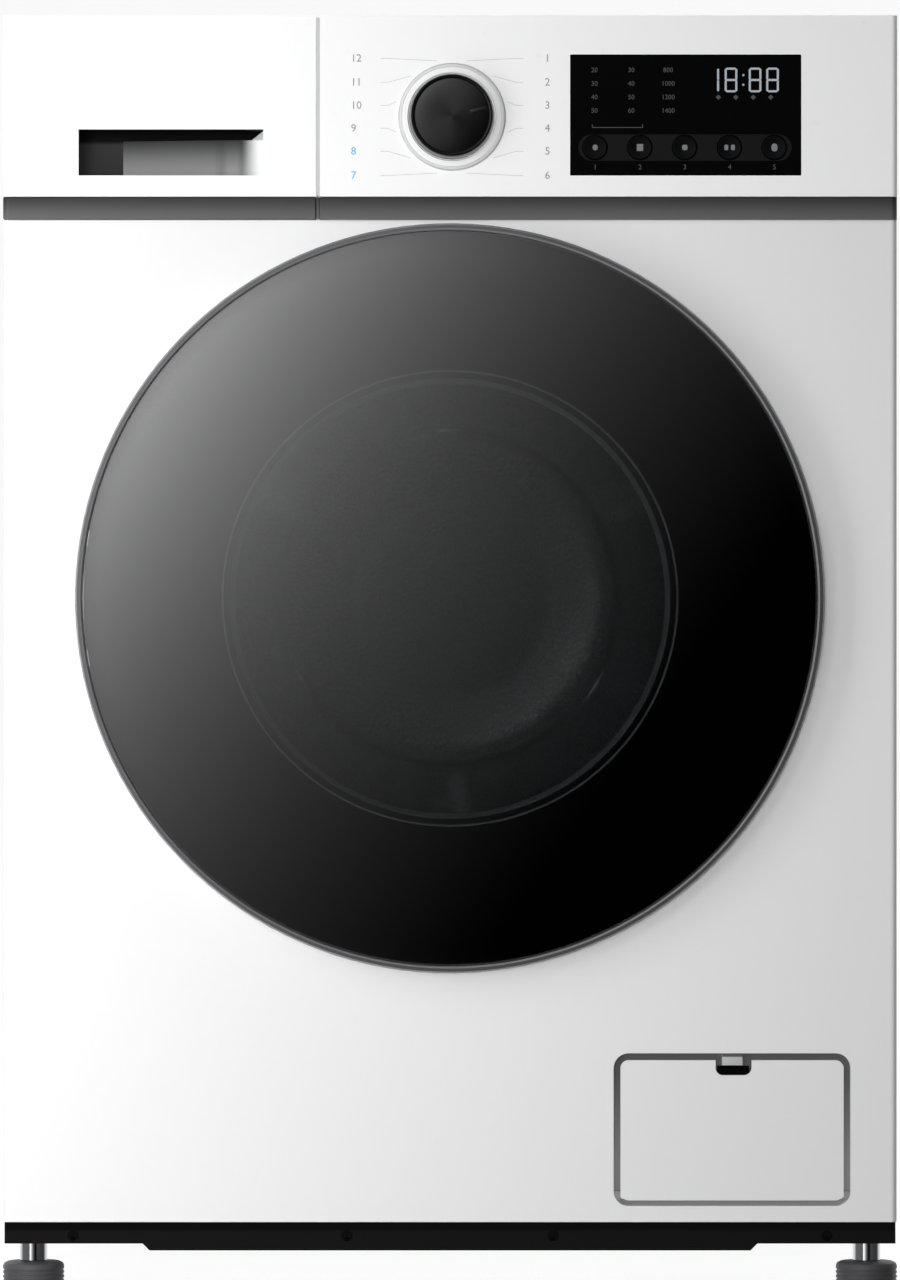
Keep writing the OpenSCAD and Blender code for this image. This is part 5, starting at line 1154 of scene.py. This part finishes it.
@dataclass
class Dial:
    """Programme knob with its pointer, and the two rings round it."""

    x: float = 1.3
    z: float = 782.4
    face_y: float = -263.0
    knob_r: float = 28.5
    front_y: float = -280.0
    pointer_turn: float = 12.0

    def build(self) -> None:
        """Makes the rings, the knob and the pointer."""
        self.rings()
        self.knob()
        self.pointer()

    def rings(self) -> None:
        """Turns the white ring and the silver one round it, whose outer face is painted darker as painted
        shade.
        """
        x, z, y = self.x, self.z, self.face_y
        stand_in(turned("dial_ring_white", x, z, [
            (29.0, y), (29.0, y - 2.2), (29.2, y - 2.8), (29.6, y - 3.2), (32.6, y - 3.2),
            (33.0, y - 3.0), (33.1, y - 2.6), (33.1, y), (29.0, y)], 192), "dial_ring", RING_WHITE)
        skirt = turned("dial_ring_grey", x, z, [
            (33.1, y), (33.1, y - 1.2), (33.5, y - 1.3), (33.6, y - 2.3), (33.8, y - 2.4), (34.9, y - 2.3),
            (35.4, y - 1.9), (35.8, y - 0.9), (35.8, y), (33.1, y)], 192)
        dress(skirt, SATIN, "cabinet")
        # Painted shade: the ring's outer face in pale grey.
        paint(skirt, PALE_GREY_PAINTED_SHADE, lambda at, normal: math.hypot(at.x - x, at.z - z) > 35.0)

    def knob(self) -> None:
        """Turns the knob: a raised rim round a slight dome."""
        y, r, front = self.face_y, self.knob_r, self.front_y
        rim = [(2.9, y + 12.0), (2.9, y - 0.4), (r - 0.8, y - 0.4), (r - 0.2, y - 1.0), (r, y - 2.0),
               (r - 0.9, front + 2.2), (r - 1.5, front + 0.8), (r - 2.6, front), (r - 3.4, front + 0.2)]
        dome = [(r - 4.0, 1.6), (r - 6.0, 1.33), (r - 8.0, 1.12), (r - 11.0, 0.85), (r / 2, 0.66),
                (r * 0.375, 0.5), (r / 4, 0.4), (r / 8, 0.32), (0.0, 0.3)]
        profile = rim + [(radius, front + sunk) for radius, sunk in dome]
        stand_in(turned("knob_body", self.x, self.z, profile, 192), "programme_knob", KNOB)

    def pointer(self) -> None:
        """Sets the pointer on the knob, turned a little."""
        x, z, front = self.x, self.z, self.front_y
        mark = plate("knob_pointer", (x + 17.7, z), (11.4, 2.6), (front + 0.35, front + 2.6), 1.2, 0.2, 4)
        only(mark)
        open_all()
        bpy.ops.transform.rotate(value=math.radians(self.pointer_turn), orient_axis="Y",
                                 orient_type="GLOBAL", center_override=(x * MM, front * MM, z * MM))
        settle("knob_pointer")
        dress(mark, BLACK_ABS, "knob")


@dataclass
class Display:
    """Black window with its lit digits, legends and the five round keys."""

    face_y: float = -262.6
    strip: Pair = (71.5, 9.2)  # half width and half height of the keys' strip
    key_x: tuple[float, ...] = (96.5, 126.3, 156.1, 185.9, 215.7)
    key_z: float = 762.15
    key_r: float = 8.2
    figure_x: tuple[float, ...] = (170.5, 182.6, 198.6, 210.2)
    figure_z: float = 798.8
    figure_wide: float = 8.4
    figure_high: float = 16.4
    stroke: float = 1.35
    colon_x: float = 195.0
    shown: str = "1888"
    legend_x: float = 96.0
    legend_z: float = 813.5
    legend_step: Pair = (24.5, 9.0)
    icons: tuple[float, ...] = (178.4, 190.0, 201.6, 213.2)
    icon_z: float = 795.5
    bracket: Pair = (111.3, 775.4)
    bracket_half: float = 16.7
    mark_z: float = 749.0
    signs: tuple[tuple[float, float, float], ...] = (  # width, height and corner radius of each
        (3.4, 3.8, 1.6), (4.2, 4.6, 0.3), (3.6, 3.6, 1.2), (2.6, 3.6, 0.8), (4.0, 5.2, 1.9))

    def build(self) -> None:
        """Makes the window, what shines through it and the keys."""
        glass = keep("display_window", "window_glass", 0.35)
        paint(glass, KEY_STRIP, lambda at, normal: at.y > self.face_y + 0.1
              and abs(at.x - self.key_x[2]) < self.strip[0] and abs(at.z - self.key_z) < self.strip[1])
        self.digits()
        self.legends()
        self.keys()

    def segment(self, name: str, x: float, z: float, size: Pair) -> Piece:
        """Makes one segment of a width and height, with pointed ends."""
        return plate(name, (x, z), size, (self.face_y - 0.05, self.face_y + 0.05), min(size) * 0.48, 0, 1)

    def figure(self, name: str, digit: str, x: float) -> list[Piece]:
        """Makes the lit segments of one digit.

        Args:
            name: start of the segments' names.
            digit: which digit.
            x: its left end.

        Returns:
            The segments.
        """
        thick = self.stroke
        long, rise = self.figure_wide - thick, self.figure_high - thick
        lying, upright = (long - 0.3, thick), (thick, rise / 2 - thick / 2 + 0.9)
        places = {"a": (0.5, 1, lying), "g": (0.5, 0.5, lying), "d": (0.5, 0, lying),
                  "f": (0, 0.75, upright), "b": (1, 0.75, upright), "e": (0, 0.25, upright),
                  "c": (1, 0.25, upright)}
        lit = {"1": "bc", "8": "abcdefg"}[digit]
        return [self.segment(f"{name}_{part}", x + thick / 2 + places[part][0] * long,
                             self.figure_z + thick / 2 + places[part][1] * rise, places[part][2])
                for part in lit]

    def digits(self) -> None:
        """Shows a readout of four digits and a colon."""
        lit = []
        for i, (digit, x) in enumerate(zip(self.shown, self.figure_x)):
            lit += self.figure(f"t{i}", digit, x)
        for i, up in enumerate((5.0, 11.4)):
            lit.append(self.segment(f"colon_{i}", self.colon_x, self.figure_z + up, (1.7, 1.7)))
        dress(joined("display_digits", lit), LIT, "cabinet")

    def legends(self) -> None:
        """Shows the small numbers, the icons, the bracket line and the marks under the keys."""
        y = self.face_y
        parts = []
        for column in range(3):
            for row in range(4):
                value = 200 * (row + 4) if column == 2 else 10 * (row + column + 2)
                place = (self.legend_x + column * self.legend_step[0],
                         self.legend_z - row * self.legend_step[1])
                parts.append(lettering(f"legend_{column}_{row}", str(value), *place, y, 3.2))
        parts += [self.segment(f"icon_{i}", x, self.icon_z, (3.4, 3.4)) for i, x in enumerate(self.icons)]
        (x, z), half = self.bracket, self.bracket_half
        parts.append(self.segment("bracket", x, z, (2 * half + 0.1, 0.5)))
        parts += [self.segment(f"bracket_{s}", x + s * half, z + 1.0, (0.5, 2.4)) for s in (-1, 1)]
        parts += [lettering(f"key_mark_{i}", str(i + 1), x, self.mark_z, y, 3.4)
                  for i, x in enumerate(self.key_x)]
        dress(joined("display_legends", parts), DIM, "cabinet")

    def keys(self) -> None:
        """Makes the five dished keys, each with its sign."""
        r = self.key_r
        low, high = span("key_1")
        front = low.y
        first = turned("key_cap_1", self.key_x[0], self.key_z, [
            (2.2, high.y), (2.2, front + 6), (r + 1.1, front + 6), (r + 1.1, front + 4.9),
            (r, front + 4.8), (r, front + 0.9), (r - 0.25, front + 0.3), (r - 0.9, front),
            (r - 1.8, front + 0.1), (r * 0.5, front + 0.45), (0.0, front + 0.55)], 72)
        for i, x in enumerate(self.key_x, 1):
            cap = first if i == 1 else copied(first, f"key_cap_{i}", (x - self.key_x[0], 0, 0))
            stand_in(cap, f"key_{i}")
            dress(self.sign(i, x, front), SYMBOL, f"key_{i}")

    def sign(self, i: int, x: float, front: float) -> Piece:
        """Prints a plain sign in the middle of a key: dot, wedge, diamond, two bars or half disc.

        Args:
            i: the key's number.
            x: the key's middle.
            front: Y of the key's front.

        Returns:
            The sign.
        """
        *size, corner = self.signs[i - 1]
        y, z = (front + 0.2, front + 0.6), self.key_z
        if i == 4:
            return joined("key_sign_4", [plate(f"bar_{s}", (x + s * 2.2, z), size, y, corner, 0, 3)
                                         for s in (-1, 1)])
        return plate(f"key_sign_{i}", (x, z), size, y, corner, 0, 4)


@dataclass
class Drawer:
    """Detergent drawer: its front with the finger recess, its band and its tray."""

    grip_x: Pair = (-247.3, -123.7)
    grip_z: Pair = (743.1, 780.4)
    grip_y: Pair = (-262.6, -245.5)
    grip_cut: tuple[Pair, Pair, Pair] = ((-136.6, -124.15), (-264.6, -245.9), (766.9, 774.1))

    def build(self) -> None:
        """Makes the drawer's pieces, with the recess opened at its upper right end."""
        front = copy_of("drawer_front", "drawer_moulding")
        cut_box(front, *self.grip_cut)
        soften(front, 0.5)
        stand_in(front, "drawer_front")
        # The recess' faces get painted shade: dark grey, black under the overhang, and graded grey with
        # shading bands on the slanted floor.
        paint(front, GRIP_PAINTED_SHADE, self.inside)
        paint(front, RAMP_PAINTED_SHADE, lambda at, normal: self.inside(at, normal) and normal.x < -0.1
              and normal.z < 0.3)
        keep("drawer_band", "band_left", 1.2)
        keep("drawer_tray", "tray_moulding", 0.5)

    def inside(self, at: Vector, normal: Vector) -> bool:
        """Whether a face of the front lies inside the finger recess."""
        return (self.grip_x[0] < at.x < self.grip_x[1] and self.grip_z[0] < at.z < self.grip_z[1]
                and self.grip_y[0] < at.y < self.grip_y[1] and normal.y < 0.5)


@dataclass
class Door:
    """Porthole door: smoked lens, lacquered rim, dark frame, glass bowl and back ring."""

    centre: Pair = (0.0, 462.3)
    face_y: float = -257.0
    lens_r: float = 244.0
    proud: float = 42.0
    bulge: float = 20.0
    thick: float = 4.0
    rings: int = 24
    print_r: float = 151.0
    print_edge: float = 1.5
    print_deep: Pair = (0.06, 0.2)  # front and back of the print, behind the lens
    rim_front: float = 12.0
    rim_flat: Pair = (1.1, 3.3)  # where the rim's flat face lies, outside the lens

    def build(self) -> None:
        """Makes the door's pieces."""
        self.lens()
        self.print_ring()
        rim = keep("door_trim_ring", "door_rim_bright", 0.5, RIM_LACQUER)
        # Painted highlights: the rim's edges beside its flat face are lighter.
        paint(rim, RIM_PAINTED_HIGHLIGHT, lambda at, normal: at.y < self.face_y - self.rim_front and not
              self.rim_flat[0] <= self.beyond_lens(at) <= self.rim_flat[1])
        keep("door_frame", "door_frame_dark", 0.6)
        keep("door_back_ring", "door_back_moulding", 0.6)
        keep("door_bowl", "door_bowl_glass", 0.8)

    def beyond_lens(self, at: Vector) -> float:
        """How far a place lies outside the lens' edge, seen from the front."""
        return math.hypot(at.x - self.centre[0], at.z - self.centre[1]) - self.lens_r

    def dome(self, radius: float, depth: float) -> float:
        """Y of the lens at a radius, at a depth under its front."""
        sphere = (self.lens_r ** 2 + self.bulge ** 2) / (2 * self.bulge)
        return self.face_y - self.proud + sphere - math.sqrt((sphere - depth) ** 2 - radius ** 2)

    def lens(self) -> None:
        """Turns the smoked lens with its rounded rim."""
        r = self.lens_r
        front, back = ([(k * wide / self.rings, self.dome(k * wide / self.rings, depth))
                        for k in range(self.rings + 1)]
                       for wide, depth in ((r - 0.9, 0), (r - 0.15, self.thick)))
        edge = [(r - 0.5, self.dome(r - 0.6, 0)), (r - 0.25, self.dome(r, 0) + 0.2),
                (r - 0.15, self.dome(r, 0) + 0.8)]
        stand_in(turned("door_lens", *self.centre, front + edge + back[::-1], 256), "door_glass")

    def print_ring(self) -> None:
        """Turns the black print on the inside of the lens, between its edge and the bowl."""
        steps = self.rings // 2
        wide = self.lens_r - self.print_edge - self.print_r
        places = [self.print_r + k * wide / steps for k in range(steps + 1)]
        near = [(r, self.dome(r, self.thick) + self.print_deep[0]) for r in places]
        far = [(r, self.dome(r, self.thick) + self.print_deep[1]) for r in reversed(places)]
        dress(turned("lens_print", *self.centre, near + far + near[:1], 192), LENS_PRINT, "door")


@dataclass
class Drum:
    """Steel drum with its pressed holes, and the three lifters."""

    radius: float = 246.0
    axis_z: float = 462.3

    def build(self) -> None:
        """Makes the drum's pieces."""
        shell = keep("drum_shell", "drum_sheet", 0.6)
        paint(shell, DRUM_STEEL, lambda at, normal: abs(normal.y) < 0.1
              and math.hypot(at.x, at.z - self.axis_z) > self.radius - 3)
        keep("drum_lifters", "lifter_mouldings", 1.5)


@dataclass
class Flap:
    """Service flap with its finger notch, and the bay behind it with the latch tab."""

    tab_x: Pair = (178.5, 195.0)
    tab_z: Pair = (151.2, 157.1)
    tab_y: float = -252.0
    cuts: tuple[tuple[Pair, Pair, Pair], ...] = (  # what the bay loses over the tab and at its left
        ((178.0, 196.0), (-258.0, -254.6), (157.2, 161.0)),
        ((178.0, 181.2), (-258.0, -252.0), (150.0, 161.0)))
    # A black plate behind the notch, under the tab: a painted shadow.
    pocket: Pair = (188.5, 148.1)
    pocket_size: Pair = (21.4, 6.2)
    pocket_y: Pair = (-253.4, -252.2)

    def build(self) -> None:
        """Makes the flap, the bay with its painted shade and its tab cut back, the tab's pale grey painted
        shade, and a black plate under the tab as painted shadow.
        """
        keep("filter_flap", "flap_moulding", 0.7, FLAP_ABS)
        # The bay's grey darkens towards its top as painted shade.
        bay = keep("filter_bay", "filter_bay_moulding", 0.4, BAY_PP_PAINTED_SHADE)
        for ends in self.cuts:
            cut_box(bay, *ends)
        # Painted shade: the latch tab in pale grey.
        paint(bay, PALE_GREY_PAINTED_SHADE, lambda at, normal: self.tab_x[0] < at.x < self.tab_x[1]
              and self.tab_z[0] < at.z < self.tab_z[1] and at.y < self.tab_y)
        # Painted shadow: a black plate behind the notch, under the tab.
        pocket = plate("latch_pocket", self.pocket, self.pocket_size, self.pocket_y, 0.4)
        dress(pocket, BLACK_PAINTED_SHADOW, "cabinet")


@dataclass
class Feet:
    """Four levelling feet: ribbed pad, plated collar and threaded rod."""

    places: tuple[str, ...] = ("front_left", "front_right", "rear_left", "rear_right")
    pad_r: float = 20.49
    pad_h: float = 19.0
    ribs: tuple[float, ...] = (4.0, 7.0, 10.0, 13.0)
    collar_r: float = 9.3
    collar_top: float = 38.5
    rod_r: float = 5.0
    pitch: float = 1.5

    def build(self) -> None:
        """Makes the first foot and copies it to the other three places."""
        low, high = span(f"foot_{self.places[0]}")
        first = (low + high) / 2
        made = [self.pad(first), self.collar(first, low.z), self.rod(first, high.z)]
        for name in self.places:
            body = f"foot_{name}"
            low, high = span(body)
            move = (low + high) / 2 - first
            pad, collar, rod = made if name == self.places[0] else [
                copied(piece, piece.name.replace(self.places[0], name), (move.x, move.y, 0))
                for piece in made]
            stand_in(pad, body)
            dress(collar, CHROME, body)
            dress(rod, ZINC, body)

    def pad(self, at: Vector) -> Piece:
        """Turns the pad with its ribs.

        Args:
            at: the foot's middle.

        Returns:
            The pad.
        """
        r, h = self.pad_r, self.pad_h
        ribs = [(r - sunk, z + up) for z in self.ribs
                for sunk, up in ((0, -0.9), (0.6, -0.5), (0.6, 0.5), (0, 0.9))]
        return turned("pad_front_left", at.x, at.y, [(0.0, 0.0), (r - 1.6, 0.0), (r - 0.5, 0.5), (r, 1.6)]
                      + ribs + [(r, h - 3.2), (r - 0.8, h - 1.4), (r - 3.0, h - 0.3), (r - 6.0, h),
                                (0.0, h)], 96, Axis.HEIGHT)

    def collar(self, at: Vector, ground: float) -> Piece:
        """Turns the plated collar.

        Args:
            at: the foot's middle.
            ground: height of the pad's underside.

        Returns:
            The collar.
        """
        r, bore, z0, z1 = self.collar_r, self.rod_r + 0.02, self.pad_h + 0.02, ground + self.collar_top
        return turned("collar_front_left", at.x, at.y, [
            (bore, z0), (r - 0.6, z0), (r, z0 + 0.68), (r, z1 - 5.0), (r - 0.5, z1 - 4.4),
            (r - 0.5, z1 - 3.4), (r, z1 - 2.8), (r, z1 - 0.8), (r - 0.8, z1), (bore, z1),
            (bore, z0)], 72, Axis.HEIGHT)

    def rod(self, at: Vector, top: float) -> Piece:
        """Turns the threaded rod with a ridge for each pitch.

        Args:
            at: the foot's middle.
            top: height of its upper end.

        Returns:
            The rod.
        """
        r, z = self.rod_r, self.pad_h
        profile = [(0.0, z)]
        while z + self.pitch < top - 1.0:
            profile += [(r - 0.75, z + 0.1), (r, z + self.pitch / 2)]
            z += self.pitch
        return turned("rod_front_left", at.x, at.y,
                      profile + [(r - 0.8, z + 0.1), (r - 1.0, top), (0.0, top)], 32, Axis.HEIGHT)


@dataclass
class Works:
    """Every other node, kept in its shape and given its finish."""

    def build(self) -> None:
        """Gives each node that still shows the finish of its slot."""
        for name, node in frame["nodes"].items():
            if node.hide_render:
                continue
            finish = SLOT_FINISH[SLOT_OF[name]]
            if not node.material_slots:
                node.data.materials.append(None)
            for holder in node.material_slots:
                holder.material = finish.material()
            LOG.info("%s keeps its shape in %s", name, finish.name)


def main() -> None:
    """Builds the machine and its studio."""
    logging.basicConfig(level=logging.INFO, format="%(name)s: %(message)s")
    for part in (Studio(), Cabinet(), Fascia(), Dial(), Display(), Drawer(), Door(), Drum(), Flap(),
                 Feet(), Works()):
        part.build()
        LOG.info("%s is done", type(part).__name__)
    fresh()


if __name__ == "__main__":
    main()
